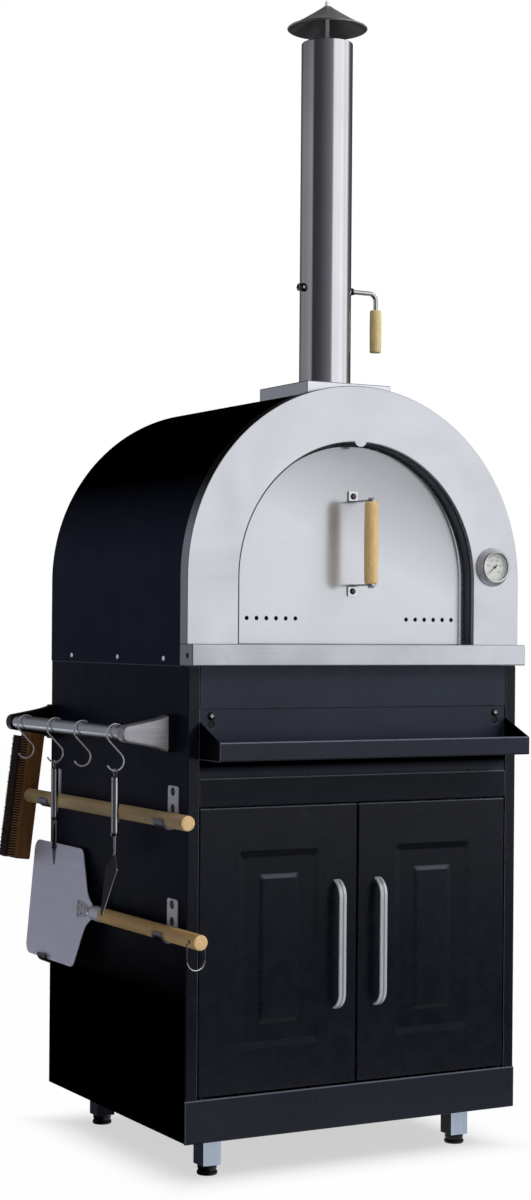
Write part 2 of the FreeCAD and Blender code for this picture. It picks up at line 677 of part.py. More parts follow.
def front_fascia():
    plate = arch_shell(FASCIA_RADIUS, OPENING_RADIUS, 0, SHEET, RAIL_TOP)
    rim = arch_shell(FASCIA_RADIUS, FASCIA_RADIUS - SHEET, 0, FASCIA_RETURN, RAIL_TOP)
    inner_rim = arch_shell(OPENING_RADIUS + SHEET, OPENING_RADIUS, 0, OPENING_RETURN, RAIL_TOP)
    tab_z = ARCH_Z + OPENING_RADIUS - TAB_DROP + TAB_RADIUS
    tab = rod((0, 0, tab_z), (0, SHEET, tab_z), TAB_RADIUS)
    tab = tab.fuse(box(-TAB_RADIUS, TAB_RADIUS, 0, SHEET, tab_z, tab_z + TAB_RADIUS))
    shape = union([plate, rim, inner_rim, tab])
    return drill(shape, (THERMO_X, 0, THERMO_Z), (THERMO_X, SHEET, THERMO_Z), PROBE_HOLE)


def oven_casing():
    shape = arch_shell(CASING_RADIUS, CASING_INNER, SHEET, CABINET_DEPTH, TOP_Z)
    shape = shape.cut(box(-CASING_RADIUS, CASING_RADIUS, 0, RAIL_BACK + GAP, TOP_Z, RAIL_TOP + GAP))
    return drill(casing_holes(shape), (0, FLUE_Y, ARCH_Z), (0, FLUE_Y, FLUE_TOP), FLUE_RADIUS + GAP)


def oven_back_panel():
    return arch(CASING_INNER - GAP, BACK_Y, CABINET_DEPTH, TOP_Z)


def inner_dome():
    """The chamber's shell with its front and back walls and the collar around the mouth."""
    dome = arch_shell(CHAMBER_OUTER, CHAMBER_RADIUS, WALL_Y0, CHAMBER_BACK, TOP_Z)
    front = arch(CHAMBER_OUTER, WALL_Y0, WALL_Y1, TOP_Z).cut(arch(MOUTH_RADIUS, WALL_Y0, WALL_Y1, RAIL_TOP))
    back = arch(CHAMBER_OUTER, CHAMBER_BACK - CHAMBER_SHEET, CHAMBER_BACK, TOP_Z)
    collar = arch_shell(OPENING_RADIUS + SHEET, OPENING_RADIUS, OPENING_RETURN, WALL_Y0, RAIL_TOP)
    shape = union([dome, front, back, collar])
    shape = drill(shape, (0, FLUE_Y, ARCH_Z), (0, FLUE_Y, FLUE_TOP), FLUE_RADIUS - FLUE_WALL)
    return drill(shape, (THERMO_X, WALL_Y0, THERMO_Z), (THERMO_X, WALL_Y1, THERMO_Z), PROBE_HOLE)


def oven_insulation():
    outer = CASING_INNER - GAP
    blanket = arch_shell(outer, CHAMBER_OUTER + GAP, WALL_Y0, CHAMBER_BACK, INSULATION_Z)
    rear = arch(outer, CHAMBER_BACK, BACK_Y, INSULATION_Z)
    front = arch_shell(outer, OPENING_RADIUS + SHEET + GAP, SHEET + GAP, WALL_Y0, RAIL_TOP + GAP)
    shape = union([blanket, rear, front])
    shape = drill(shape, (0, FLUE_Y, ARCH_Z), (0, FLUE_Y, FLUE_TOP), FLUE_RADIUS + GAP)
    return drill(shape, (THERMO_X, 0, THERMO_Z), (THERMO_X, WALL_Y1, THERMO_Z), PROBE_HOLE)


def hearth_board():
    return box(-CHAMBER_RADIUS, CHAMBER_RADIUS, WALL_Y1, CHAMBER_BACK - CHAMBER_SHEET,
               TOP_Z, RAIL_TOP - STONE_THICK)


def hearth_stones():
    edge = CHAMBER_RADIUS - STONE_PLAY
    y0, y1 = WALL_Y1 + STONE_PLAY, CHAMBER_BACK - CHAMBER_SHEET - STONE_PLAY
    z0 = RAIL_TOP - STONE_THICK
    return group([box(-edge, -STONE_PLAY, y0, y1, z0, RAIL_TOP), box(STONE_PLAY, edge, y0, y1, z0, RAIL_TOP)])


def oven_door_skin():
    floor_z = RAIL_TOP + GAP
    back = OVEN_DOOR_Y + OVEN_DOOR_SHEET
    plate = arch(OVEN_DOOR_RADIUS, OVEN_DOOR_Y, back, floor_z, OVEN_DOOR_CENTRE)
    rim = arch(OVEN_DOOR_RADIUS, OVEN_DOOR_Y, OVEN_DOOR_RIM, floor_z, OVEN_DOOR_CENTRE)
    rim = rim.cut(arch(OVEN_DOOR_RADIUS - SHEET, back, OVEN_DOOR_RIM, floor_z + SHEET, OVEN_DOOR_CENTRE))
    shape = plate.fuse(rim).removeSplitter()
    z = RAIL_TOP + VENT_RISE
    for side in (-1, 1):
        for index in range(VENT_COUNT):
            x = side * (OVEN_DOOR_RADIUS - VENT_INSET - index * VENT_PITCH)
            shape = drill(shape, (x, OVEN_DOOR_Y, z), (x, back, z), VENT_RADIUS)
    return shape


def oven_door_pan():
    front = OVEN_DOOR_Y + OVEN_DOOR_SHEET
    floor_z = RAIL_TOP + PAN_RISE
    block = arch(PAN_RADIUS, front, PAN_BACK, floor_z)
    return block.cut(arch(PAN_RADIUS - SHEET, front, PAN_BACK - SHEET, floor_z + SHEET))


def door_gasket():
    return arch_shell(GASKET_INNER + GASKET_WIDTH, GASKET_INNER, GASKET_FRONT, WALL_Y0, RAIL_TOP)


def grip_bracket(sign):
    """One bent strap: a foot on the door and an arm out to the grip's end."""
    width = GRIP_BRACKET_WIDTH / 2
    arm = GRIP_Z + sign * GRIP_LENGTH / 2
    outer = arm + sign * GRIP_BRACKET_THICK
    foot_end = arm + sign * GRIP_FOOT
    low, high = min(arm, outer), max(arm, outer)
    strap = box(-width, width, GRIP_Y, OVEN_DOOR_Y, low, high)
    nose = rod((0, GRIP_Y, low), (0, GRIP_Y, high), width)
    face = OVEN_DOOR_Y - GRIP_BRACKET_THICK
    plate = box(-width, width, face, OVEN_DOOR_Y, min(arm, foot_end), max(arm, foot_end))
    screw_z = (outer + foot_end) / 2
    screw = rod((0, face - GRIP_SCREW_HEIGHT, screw_z), (0, OVEN_DOOR_Y, screw_z), GRIP_SCREW_RADIUS)
    nut_end = outer + sign * GRIP_NUT_HEIGHT
    nut = rod((0, GRIP_Y, outer), (0, GRIP_Y, nut_end), GRIP_NUT_RADIUS)
    shape = union([strap, nose, plate, screw, nut])
    return drill(shape, (0, GRIP_Y, arm), (0, GRIP_Y, nut_end), GRIP_BOLT_RADIUS)


def door_grip():
    half = GRIP_LENGTH / 2
    shoulder = GRIP_RADIUS - GRIP_SWELL
    end = shoulder - GRIP_SWELL
    taper = half - GRIP_END_TAPER
    profile = [(GRIP_BOLT_RADIUS, -half), (end, -half), (shoulder, -taper), (GRIP_RADIUS, -half / 3),
               (GRIP_RADIUS, half / 3), (shoulder, taper), (end, half), (GRIP_BOLT_RADIUS, half)]
    return turned_z([(r, GRIP_Z + z) for r, z in profile], 0, GRIP_Y)


def grip_bolt():
    reach = GRIP_LENGTH / 2 + GRIP_BRACKET_THICK + GRIP_NUT_HEIGHT
    return rod((0, GRIP_Y, GRIP_Z - reach), (0, GRIP_Y, GRIP_Z + reach), GRIP_BOLT_RADIUS)


def chimney_base():
    half = COLLAR_SIDE / 2
    shape = box(-half, half, FLUE_Y - half, FLUE_Y + half, ARCH_Z + CASING_RADIUS / 2, COLLAR_TOP)
    inner = half - SHEET
    shape = shape.cut(box(-inner, inner, FLUE_Y - inner, FLUE_Y + inner, ARCH_Z, COLLAR_TOP - SHEET))
    shape = drill(shape, (0, 0, ARCH_Z), (0, CABINET_DEPTH, ARCH_Z), CASING_RADIUS + GAP)
    return drill(shape, (0, FLUE_Y, ARCH_Z), (0, FLUE_Y, COLLAR_TOP), FLUE_RADIUS + COLLAR_PLAY)


def chimney_pipe():
    inner = FLUE_RADIUS - FLUE_WALL
    tube = ring((0, FLUE_Y, ARCH_Z), (0, FLUE_Y, FLUE_TOP), FLUE_RADIUS, inner)
    tube = drill(tube, (0, 0, ARCH_Z), (0, CABINET_DEPTH, ARCH_Z), CHAMBER_OUTER)
    bushes = rod((-BUSH_REACH, FLUE_Y, DAMPER_Z), (BUSH_REACH, FLUE_Y, DAMPER_Z), BUSH_RADIUS)
    bushes = drill(bushes, (0, FLUE_Y, DAMPER_Z - BUSH_RADIUS), (0, FLUE_Y, DAMPER_Z + BUSH_RADIUS), inner)
    shape = tube.fuse(bushes).removeSplitter()
    return drill(shape, (-BUSH_REACH, FLUE_Y, DAMPER_Z), (BUSH_REACH, FLUE_Y, DAMPER_Z),
                 DAMPER_ROD_RADIUS + RUNNING_PLAY)


def rain_cap():
    """A cone of sheet with a rolled rim, on a stem that a cross strap holds in the pipe."""
    rise = CAP_APEX_Z - CAP_RIM_Z
    thick = CAP_SHEET * math.hypot(rise, CAP_RADIUS) / CAP_RADIUS
    cone = turned_z([(0, CAP_APEX_Z - thick), (CAP_RADIUS - CAP_SHEET, CAP_RIM_Z), (CAP_RADIUS, CAP_RIM_Z),
                     (0, CAP_APEX_Z)], 0, FLUE_Y)
    bead = Part.makeTorus(CAP_RADIUS, CAP_BEAD, Vec(0, FLUE_Y, CAP_RIM_Z), Vec(0, 0, 1))
    strap_z = FLUE_TOP - CAP_BRACKET_DROP
    under = strap_z - CAP_STRAP_THICK
    reach, half = FLUE_RADIUS, CAP_STRAP_WIDTH / 2
    stem = rod((0, FLUE_Y, under), (0, FLUE_Y, CAP_APEX_Z), CAP_STEM_RADIUS)
    strap = box(-reach, reach, FLUE_Y - half, FLUE_Y + half, under, strap_z)
    cross = box(-half, half, FLUE_Y - reach, FLUE_Y + reach, under, strap_z)
    barrel = rod((0, FLUE_Y, under), (0, FLUE_Y, strap_z), FLUE_RADIUS - FLUE_WALL)
    seat, top = CAP_APEX_Z - CAP_NUT_RADIUS, CAP_APEX_Z + CAP_NUT_HEIGHT
    nut = turned_z([(0, seat), (CAP_NUT_RADIUS, seat), (CAP_NUT_RADIUS, CAP_APEX_Z + CAP_NUT_RADIUS),
                    (CAP_NUT_RADIUS / 3, top), (0, top)], 0, FLUE_Y)
    return union([cone, bead, stem, strap.fuse(cross).common(barrel), nut])


def damper_plate():
    return rod((0, FLUE_Y - SHEET / 2, DAMPER_Z), (0, FLUE_Y + SHEET / 2, DAMPER_Z), DAMPER_PLATE_RADIUS)


def damper_rod():
    """A rod that is slotted for the plate and turns down into the grip outside the pipe."""
    end_z = DAMPER_GRIP_TOP - DAMPER_GRIP_SOCKET
    nut_x = -BUSH_REACH - GAP
    tail_x = nut_x - DAMPER_NUT_LENGTH
    corner = Vec(DAMPER_REACH - DAMPER_BEND, FLUE_Y, DAMPER_Z - DAMPER_BEND)
    lean = DAMPER_BEND / math.sqrt(2)
    edges = [
        Part.makeLine(Vec(tail_x, FLUE_Y, DAMPER_Z), Vec(corner.x, FLUE_Y, DAMPER_Z)),
        Part.Arc(Vec(corner.x, FLUE_Y, DAMPER_Z), corner + Vec(lean, 0, lean),
                 Vec(DAMPER_REACH, FLUE_Y, corner.z)).toShape(),
        Part.makeLine(Vec(DAMPER_REACH, FLUE_Y, corner.z), Vec(DAMPER_REACH, FLUE_Y, end_z)),
    ]
    nut = rod((tail_x, FLUE_Y, DAMPER_Z), (nut_x, FLUE_Y, DAMPER_Z), DAMPER_NUT_RADIUS)
    return swept(edges, DAMPER_ROD_RADIUS).fuse(nut).removeSplitter().cut(damper_plate())


def damper_grip():
    top, bottom = DAMPER_GRIP_TOP, DAMPER_GRIP_TOP - DAMPER_GRIP_LENGTH
    socket = top - DAMPER_GRIP_SOCKET
    radius, bore = DAMPER_GRIP_RADIUS, DAMPER_ROD_RADIUS
    bevel = DAMPER_GRIP_BEVEL
    edge = radius - bevel
    return turned_z([(bore, top), (edge, top), (radius, top - bevel), (radius, bottom + bevel),
                     (edge, bottom), (0, bottom), (0, socket), (bore, socket)], DAMPER_REACH, FLUE_Y)


def thermometer_case():
    base, face, bore = THERMO_BASE_RADIUS, THERMO_FACE_RADIUS, THERMO_BORE_RADIUS
    front, floor = -THERMO_DEPTH, -THERMO_FLOOR
    profile = [(0, PROBE_END), (0, floor), (bore, floor), (bore, front), (face - THERMO_RIM, front),
               (face, front + THERMO_RIM), (base, -THERMO_LIP), (base, 0), (PROBE_RADIUS, 0),
               (PROBE_RADIUS, PROBE_END)]
    return turned_y(profile, THERMO_X, THERMO_Z)


def thermometer_disc(radius, y0, y1):
    return rod((THERMO_X, y0, THERMO_Z), (THERMO_X, y1, THERMO_Z), radius)


def thermometer_dial():
    pivot = thermometer_disc(PIVOT_RADIUS, NEEDLE_Y, DIAL_Y)
    plate = thermometer_disc(THERMO_BORE_RADIUS - DIAL_PLAY, DIAL_Y, -THERMO_FLOOR)
    return plate.fuse(pivot).removeSplitter()


def thermometer_needle():
    """A tapered pointer whose hub is bored blind to turn on the pivot's end."""
    front = NEEDLE_Y - GAP - NEEDLE_THICK
    back = front + NEEDLE_THICK
    wide, tip = NEEDLE_WIDTH / 2, NEEDLE_TIP / 2
    low, high = THERMO_Z - NEEDLE_TAIL, THERMO_Z + NEEDLE_LENGTH
    pointer = prism_xz([(THERMO_X - wide, low), (THERMO_X + wide, low), (THERMO_X + tip, high),
                        (THERMO_X - tip, high)], front, back)
    pointer.rotate(Vec(THERMO_X, 0, THERMO_Z), Vec(0, 1, 0), NEEDLE_REST_DEG)
    hub = thermometer_disc(NEEDLE_HUB, front, NEEDLE_Y + PIVOT_LENGTH / 2)
    bore = thermometer_disc(PIVOT_RADIUS + RUNNING_PLAY, back, NEEDLE_Y + PIVOT_LENGTH / 2)
    return hub.fuse(pointer).removeSplitter().cut(bore)


def thermometer_glass():
    front = -THERMO_DEPTH + GLASS_INSET
    return thermometer_disc(THERMO_BORE_RADIUS - DIAL_PLAY, front, front + GLASS_THICK)


def bar_bracket(y):
    """A tapered bracket with a round nose, flared flange and a socket for the bar's end."""
    half = BAR_BRACKET_TALL / 2
    depth = BAR_BRACKET_DEPTH / 2
    profile = [(-HALF, BAR_Z - half), (-HALF, BAR_Z + half),
               (BAR_X, BAR_Z + BAR_BRACKET_NOSE), (BAR_X, BAR_Z - BAR_BRACKET_NOSE)]
    wedge = prism_xz(profile, y - depth, y + depth)
    nose = rod((BAR_X, y - depth, BAR_Z), (BAR_X, y + depth, BAR_Z), BAR_BRACKET_NOSE)
    flange = box(-HALF - BAR_FLANGE, -HALF, y - depth - BAR_FLANGE, y + depth + BAR_FLANGE,
                 BAR_Z - half - BAR_FLANGE, BAR_Z + half + BAR_FLANGE)
    bar = rod((BAR_X, BAR_FRONT_Y, BAR_Z), (BAR_X, BAR_REAR_Y, BAR_Z), BAR_RADIUS)
    return union([wedge, nose, flange]).cut(bar)


def s_hook(y):
    """An S of round wire that hangs on the bar, in the plane across it."""
    reach = S_TOP_Z - S_LOW_Z
    tilt = math.asin((S_TOP_RADIUS + S_LOW_RADIUS) / reach)

    def point(cz, radius, angle):
        return Vec(BAR_X + radius * math.cos(angle), y, cz + radius * math.sin(angle))

    tip = math.radians(S_TIP_DEG)
    end = math.radians(S_END_DEG) - 2 * math.pi
    leave = math.pi + tilt
    edges = [
        Part.Arc(point(S_TOP_Z, S_TOP_RADIUS, tip), point(S_TOP_Z, S_TOP_RADIUS, (tip + leave) / 2),
                 point(S_TOP_Z, S_TOP_RADIUS, leave)).toShape(),
        Part.makeLine(point(S_TOP_Z, S_TOP_RADIUS, leave), point(S_LOW_Z, S_LOW_RADIUS, tilt)),
        Part.Arc(point(S_LOW_Z, S_LOW_RADIUS, tilt), point(S_LOW_Z, S_LOW_RADIUS, (tilt + end) / 2),
                 point(S_LOW_Z, S_LOW_RADIUS, end)).toShape(),
    ]
    return swept(edges, S_WIRE)


def strap_hook(y, centre_z):
    """A bent strap: a plate on the side panel that turns up under a pole."""
    inner = POLE_RADIUS + GAP
    outer = inner + HOOK_STRAP
    y0, y1 = y - HOOK_WIDTH / 2, y + HOOK_WIDTH / 2
    bend = ring((POLE_X, y0, centre_z), (POLE_X, y1, centre_z), outer, inner)
    bend = bend.cut(box(POLE_X - outer, POLE_X + outer, y0, y1, centre_z, centre_z + outer))
    plate = box(-HALF - HOOK_STRAP, -HALF, y0, y1, centre_z, centre_z + HOOK_PLATE)
    lip = box(POLE_X - outer, POLE_X - inner, y0, y1, centre_z, centre_z + HOOK_LIP)
    shape = union([bend, plate, lip])
    for rise in HOOK_HOLES:
        shape = shape.cut(hook_screw(y, centre_z + rise))
    return shape


def hook_screw(y, z):
    """A screw whose flat head lies flush in the strap, so that the pole slides past it."""
    face, seat = -HALF - HOOK_STRAP, -HALF - HOOK_STRAP + HOOK_SINK
    head = rod((face, y, z), (seat, y, z), HOOK_SCREW_HEAD)
    return head.fuse(rod((seat, y, z), (-HALF, y, z), SCREW_SHANK)).removeSplitter()


def blade_hook_z():
    """The height at which the rear low hook carries the blade's lower edge."""
    tilt = math.radians(PEEL_TILT_DEG)
    edge_x = PEEL_HALF_WIDTH * math.sin(tilt) + PEEL_THICK / 2
    edge_z = PEEL_POLE_Z - PEEL_HALF_WIDTH * math.cos(tilt)
    return edge_z - GAP + math.sqrt(POLE_RADIUS ** 2 - edge_x ** 2)


HOOK_PLACES = (
    (HOOK_FRONT_Y, BRUSH_POLE_Z), (HOOK_REAR_Y, BRUSH_POLE_Z),
    (HOOK_FRONT_Y, PEEL_POLE_Z), (HOOK_REAR_Y, blade_hook_z()),
)


def casing_screw(side, y):
    face = side * CASING_RADIUS
    head = rod((face + side * SCREW_HEAD_HEIGHT, y, SCREW_Z), (face, y, SCREW_Z), SCREW_HEAD)
    shank = rod((face, y, SCREW_Z), (face - side * SCREW_REACH, y, SCREW_Z), SCREW_SHANK)
    return head.fuse(shank).removeSplitter()


def tray_screw(x):
    under = TRAY_PLATE_Y - TRAY_HEAD_GAP
    head = rod((x, under - TRAY_HEAD_HEIGHT, TRAY_SCREW_Z), (x, under, TRAY_SCREW_Z), TRAY_SCREW_HEAD)
    shank = rod((x, under, TRAY_SCREW_Z), (x, RECESS_DEPTH + SCREW_REACH, TRAY_SCREW_Z), TRAY_SCREW_RADIUS)
    return head.fuse(shank).removeSplitter()


def panel_screws():
    made = [casing_screw(side, y) for side in (-1, 1) for y in CASING_SCREW_Y]
    made += [hook_screw(y, z + rise) for y, z in HOOK_PLACES for rise in HOOK_HOLES]
    made += [tray_screw(x) for x in (-TRAY_SCREW_X, TRAY_SCREW_X)]
    return group(made)


def tilted(shape, z, degrees):
    """Turn a tool's head about its pole."""
    shape.rotate(Vec(POLE_X, 0, z), Vec(0, 1, 0), degrees)
    return shape


def brush_pole():
    return rod((POLE_X, BRUSH_POLE_FRONT, BRUSH_POLE_Z), (POLE_X, BRUSH_BLOCK_Y + BRUSH_SOCKET, BRUSH_POLE_Z),
               POLE_RADIUS)


def brush_block():
    thick, length = BRUSH_BLOCK_THICK / 2, BRUSH_BLOCK_LENGTH / 2
    block = box(POLE_X - thick, POLE_X + thick, BRUSH_BLOCK_Y, BRUSH_BLOCK_Y + BRUSH_BLOCK_DEPTH,
                BRUSH_POLE_Z - length, BRUSH_POLE_Z + length)
    return tilted(block, BRUSH_POLE_Z, BRUSH_TILT_DEG).cut(brush_pole())


def brush_bristles():
    x1 = POLE_X - BRUSH_BLOCK_THICK / 2
    y0 = BRUSH_BLOCK_Y + (BRUSH_BLOCK_DEPTH - BRISTLE_DEPTH) / 2
    z1 = BRUSH_POLE_Z + BRUSH_BLOCK_LENGTH / 2 - BRISTLE_DROP
    tuft = box(x1 - BRISTLE_REACH, x1, y0, y0 + BRISTLE_DEPTH, z1 - BRISTLE_LENGTH, z1)
    return tilted(tuft, BRUSH_POLE_Z, BRUSH_TILT_DEG)


def peel_pole():
    pole = rod((POLE_X, PEEL_POLE_FRONT, PEEL_POLE_Z), (POLE_X, PEEL_POLE_REAR, PEEL_POLE_Z), POLE_RADIUS)
    return drill(pole, (POLE_X - POLE_RADIUS, PEEL_LOOP_Y, PEEL_POLE_Z),
                 (POLE_X + POLE_RADIUS, PEEL_LOOP_Y, PEEL_POLE_Z), PEEL_LOOP_WIRE + GAP)


def across_sheet(edge):
    first, last = edge.Vertexes[0].Point, edge.Vertexes[-1].Point
    return abs(first.x - last.x) > PEEL_THICK / 2


def peel_blade():
    """A flat blade with round corners, tapering shoulders and a socket on the pole's end."""
    z = PEEL_POLE_Z
    upper = [(PEEL_FAR_Y, PEEL_HALF_WIDTH), (PEEL_SHOULDER_Y, PEEL_HALF_WIDTH),
             (PEEL_WAIST_Y, PEEL_WAIST_HALF), (PEEL_NECK_Y, PEEL_NECK_HALF)]
    outline = [(y, z + half) for y, half in upper] + [(y, z - half) for y, half in reversed(upper)]
    sheet = prism_yz(outline, POLE_X - PEEL_THICK / 2, POLE_X + PEEL_THICK / 2)
    for y, radius in ((PEEL_FAR_Y, PEEL_CORNER), (PEEL_SHOULDER_Y, PEEL_SHOULDER_CORNER),
                      (PEEL_WAIST_Y, PEEL_WAIST_CORNER)):
        corners = [edge for edge in sheet.Edges
                   if across_sheet(edge) and abs(edge.CenterOfMass.y - y) < PEEL_THICK]
        sheet = sheet.makeFillet(radius, corners)
    sheet = tilted(sheet, z, PEEL_TILT_DEG)
    socket = Part.makeCone(POLE_RADIUS, PEEL_SOCKET_END, PEEL_SOCKET,
                           Vec(POLE_X, PEEL_POLE_REAR, z), Vec(0, 1, 0))
    return sheet.fuse(socket).removeSplitter()


def peel_loop():
    """A wire loop through the pole's hole, hanging below the pole."""
    y, z, half, turn = PEEL_LOOP_Y, PEEL_POLE_Z, PEEL_LOOP_HALF, PEEL_LOOP_TURN
    low = z - PEEL_LOOP_DROP
    lean = turn / math.sqrt(2)

    def at(x, height):
        return Vec(POLE_X + x, y, height)

    edges = [
        Part.makeLine(at(0, z), at(half - turn, z)),
        Part.Arc(at(half - turn, z), at(half - turn + lean, z - turn + lean), at(half, z - turn)).toShape(),
        Part.makeLine(at(half, z - turn), at(half, low)),
        Part.Arc(at(half, low), at(0, low - half), at(-half, low)).toShape(),
        Part.makeLine(at(-half, low), at(-half, z - turn)),
        Part.Arc(at(-half, z - turn), at(turn - half - lean, z - turn + lean), at(turn - half, z)).toShape(),
        Part.makeLine(at(-half + turn, z), at(-GAP, z)),
    ]
    return swept(edges, PEEL_LOOP_WIRE)


def tool_top(y, handle_length):
    """A hanging eye, its neck and a round handle, below one S hook."""
    eye = Part.makeTorus(EYE_RADIUS, EYE_WIRE, Vec(BAR_X, y, EYE_Z), Vec(1, 0, 0))
    top, bottom = TOOL_TOP_Z, TOOL_TOP_Z - handle_length
    radius, bevel = TOOL_HANDLE_RADIUS, TOOL_HANDLE_BEVEL
    edge = radius - bevel
    handle = turned_z([(0, top), (edge, top), (radius, top - bevel), (radius, bottom + bevel),
                       (edge, bottom), (0, bottom)], BAR_X, y)
    return eye.fuse(handle)


def cutter_handle():
    y = S_HOOK_Y[1]
    end = TOOL_TOP_Z - CUTTER_HANDLE_LENGTH
    half, out = FORK_WIDTH / 2, FORK_SPAN / 2 + FORK_ARM
    fork = []
    for x0 in (BAR_X - out, BAR_X + out - FORK_ARM):
        arm = box(x0, x0 + FORK_ARM, y - half, y + half, CUTTER_AXLE_Z, end)
        fork.append(arm.fuse(rod((x0, y, CUTTER_AXLE_Z), (x0 + FORK_ARM, y, CUTTER_AXLE_Z), half)))
    bridge = box(BAR_X - out, BAR_X + out, y - half, y + half, end - FORK_BRIDGE, end)
    axle = rod((BAR_X - out, y, CUTTER_AXLE_Z), (BAR_X + out, y, CUTTER_AXLE_Z), CUTTER_AXLE_RADIUS)
    lower = union(fork + [bridge, axle])
    lower.rotate(Vec(BAR_X, y, 0), Vec(0, 0, 1), CUTTER_TWIST_DEG)
    return tool_top(y, CUTTER_HANDLE_LENGTH).fuse(lower).removeSplitter()


def cutter_wheel():
    y = S_HOOK_Y[1]
    rim = CUTTER_WHEEL_RADIUS
    bore = CUTTER_AXLE_RADIUS + RUNNING_PLAY
    hub, face, edge = WHEEL_HUB_THICK / 2, WHEEL_THICK / 2, WHEEL_EDGE / 2
    right = [(hub, bore), (hub, WHEEL_HUB_RADIUS), (face, WHEEL_HUB_RADIUS),
             (face, rim - WHEEL_BEVEL), (edge, rim)]
    loop = [Vec(BAR_X + x, y, CUTTER_AXLE_Z + r) for x, r in right]
    loop += [Vec(BAR_X - x, y, CUTTER_AXLE_Z + r) for x, r in reversed(right)]
    wheel = Part.Face(Part.makePolygon(loop + loop[:1]))
    wheel = wheel.revolve(Vec(BAR_X, y, CUTTER_AXLE_Z), Vec(1, 0, 0), 360)
    wheel.rotate(Vec(BAR_X, y, 0), Vec(0, 0, 1), CUTTER_TWIST_DEG)
    return wheel


def pizza_server():
    y = S_HOOK_Y[3]
    end = TOOL_TOP_Z - SERVER_HANDLE_LENGTH
    blade_top = end - SERVER_SHAFT_LENGTH
    half, tip, thick = SERVER_BLADE_WIDTH / 2, SERVER_TIP / 2, SERVER_BLADE_THICK / 2
    shaft = rod((BAR_X, y, end), (BAR_X, y, blade_top - SERVER_SHAFT_RADIUS), SERVER_SHAFT_RADIUS)
    right = [(tip, blade_top), (half, blade_top - SERVER_SHOULDER), (tip, blade_top - SERVER_BLADE_LENGTH)]
    outline = [(y + w, z) for w, z in right] + [(y - w, z) for w, z in reversed(right)]
    blade = prism_yz(outline, BAR_X - thick, BAR_X + thick)
    blade.rotate(Vec(BAR_X, y, blade_top), Vec(0, 1, 0), SERVER_BLADE_SLANT_DEG)
    return union([tool_top(y, SERVER_HANDLE_LENGTH), shaft, blade])


def build():
    """Every node of the table, in drawing coordinates."""
    upper_width = OPEN_X - PANEL_SIDE_GAP
    left_side, door, handle = side_panel(), left_door(), door_handle()
    nodes = {
        "cabinet_left_side": left_side,
        "cabinet_right_side": mirror_x(left_side),
        "cabinet_back": box(-INNER_X, INNER_X, PANEL_BACK_Y, BACK_Y, BASE_Z, TOP_Z - SHEET),
        "cabinet_base": cabinet_base(),
        "cabinet_deck": cabinet_deck(),
        "cabinet_shelf": cabinet_shelf(),
        "upper_front_panel": box(-upper_width, upper_width, 0, SHEET, UPPER_Z0, TOP_Z),
        "door_header": door_header(),
        "door_catch": door_catch(),
        "hinge_pins": hinge_pins(),
        "left_door": door,
        "right_door": mirror_x(door),
        "left_door_handle": handle,
        "right_door_handle": mirror_x(handle),
        "front_tray": front_tray(),
        "legs": legs(),
        "panel_screws": panel_screws(),
        "side_bar": rod((BAR_X, BAR_FRONT_Y, BAR_Z), (BAR_X, BAR_REAR_Y, BAR_Z), BAR_RADIUS),
        "side_bar_brackets": group([bar_bracket(BAR_FRONT_Y), bar_bracket(BAR_REAR_Y)]),
        "strap_hooks": group([strap_hook(y, z) for y, z in HOOK_PLACES]),
        "brush_pole": brush_pole(),
        "brush_block": brush_block(),
        "brush_bristles": brush_bristles(),
        "peel_pole": peel_pole(),
        "peel_blade": peel_blade(),
        "peel_loop": peel_loop(),
        "cutter_handle": cutter_handle(),
        "cutter_wheel": cutter_wheel(),
        "pizza_server": pizza_server(),
        "front_rail": front_rail(),
        "front_fascia": front_fascia(),
        "oven_casing": oven_casing(),
        "oven_back_panel": oven_back_panel(),
        "inner_dome": inner_dome(),
        "oven_insulation": oven_insulation(),
        "hearth_board": hearth_board(),
        "hearth_stones": hearth_stones(),
        "oven_door_skin": oven_door_skin(),
        "oven_door_pan": oven_door_pan(),
        "door_gasket": door_gasket(),
        "grip_brackets": group([grip_bracket(-1), grip_bracket(1), grip_bolt()]),
        "door_grip": door_grip(),
        "chimney_base": chimney_base(),
        "chimney_pipe": chimney_pipe(),
        "rain_cap": rain_cap(),
        "damper_plate": damper_plate(),
        "damper_rod": damper_rod(),
        "damper_grip": damper_grip(),
        "thermometer_case": thermometer_case(),
        "thermometer_dial": thermometer_dial(),
        "thermometer_needle": thermometer_needle(),
        "thermometer_glass": thermometer_glass(),
    }
    for side, x in (("left", -LEG_X), ("right", LEG_X)):
        nodes["front_%s_foot" % side] = foot(x, LEG_INSET)
        nodes["rear_%s_foot" % side] = foot(x, CABINET_DEPTH - LEG_INSET)
    for index, y in enumerate(S_HOOK_Y):
        nodes["s_hook_%d" % (index + 1)] = s_hook(y)
    return nodes


def own_frame(nodes):
    """The shift that puts the origin under the middle of the whole object."""
    total = FreeCAD.BoundBox()
    for shape in nodes.values():
        total.add(shape.optimalBoundingBox())
    return Vec(-(total.XMin + total.XMax) / 2, -(total.YMin + total.YMax) / 2, -total.ZMin)


NODES = build()
SHIFT = own_frame(NODES)
os.makedirs("parts", exist_ok=True)
for name, shape in NODES.items():
    shape.translate(SHIFT)
    shape.exportStep("parts/%s.step" % name)
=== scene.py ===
import math
import random

import bmesh
import bpy
from mathutils import Matrix, Vector

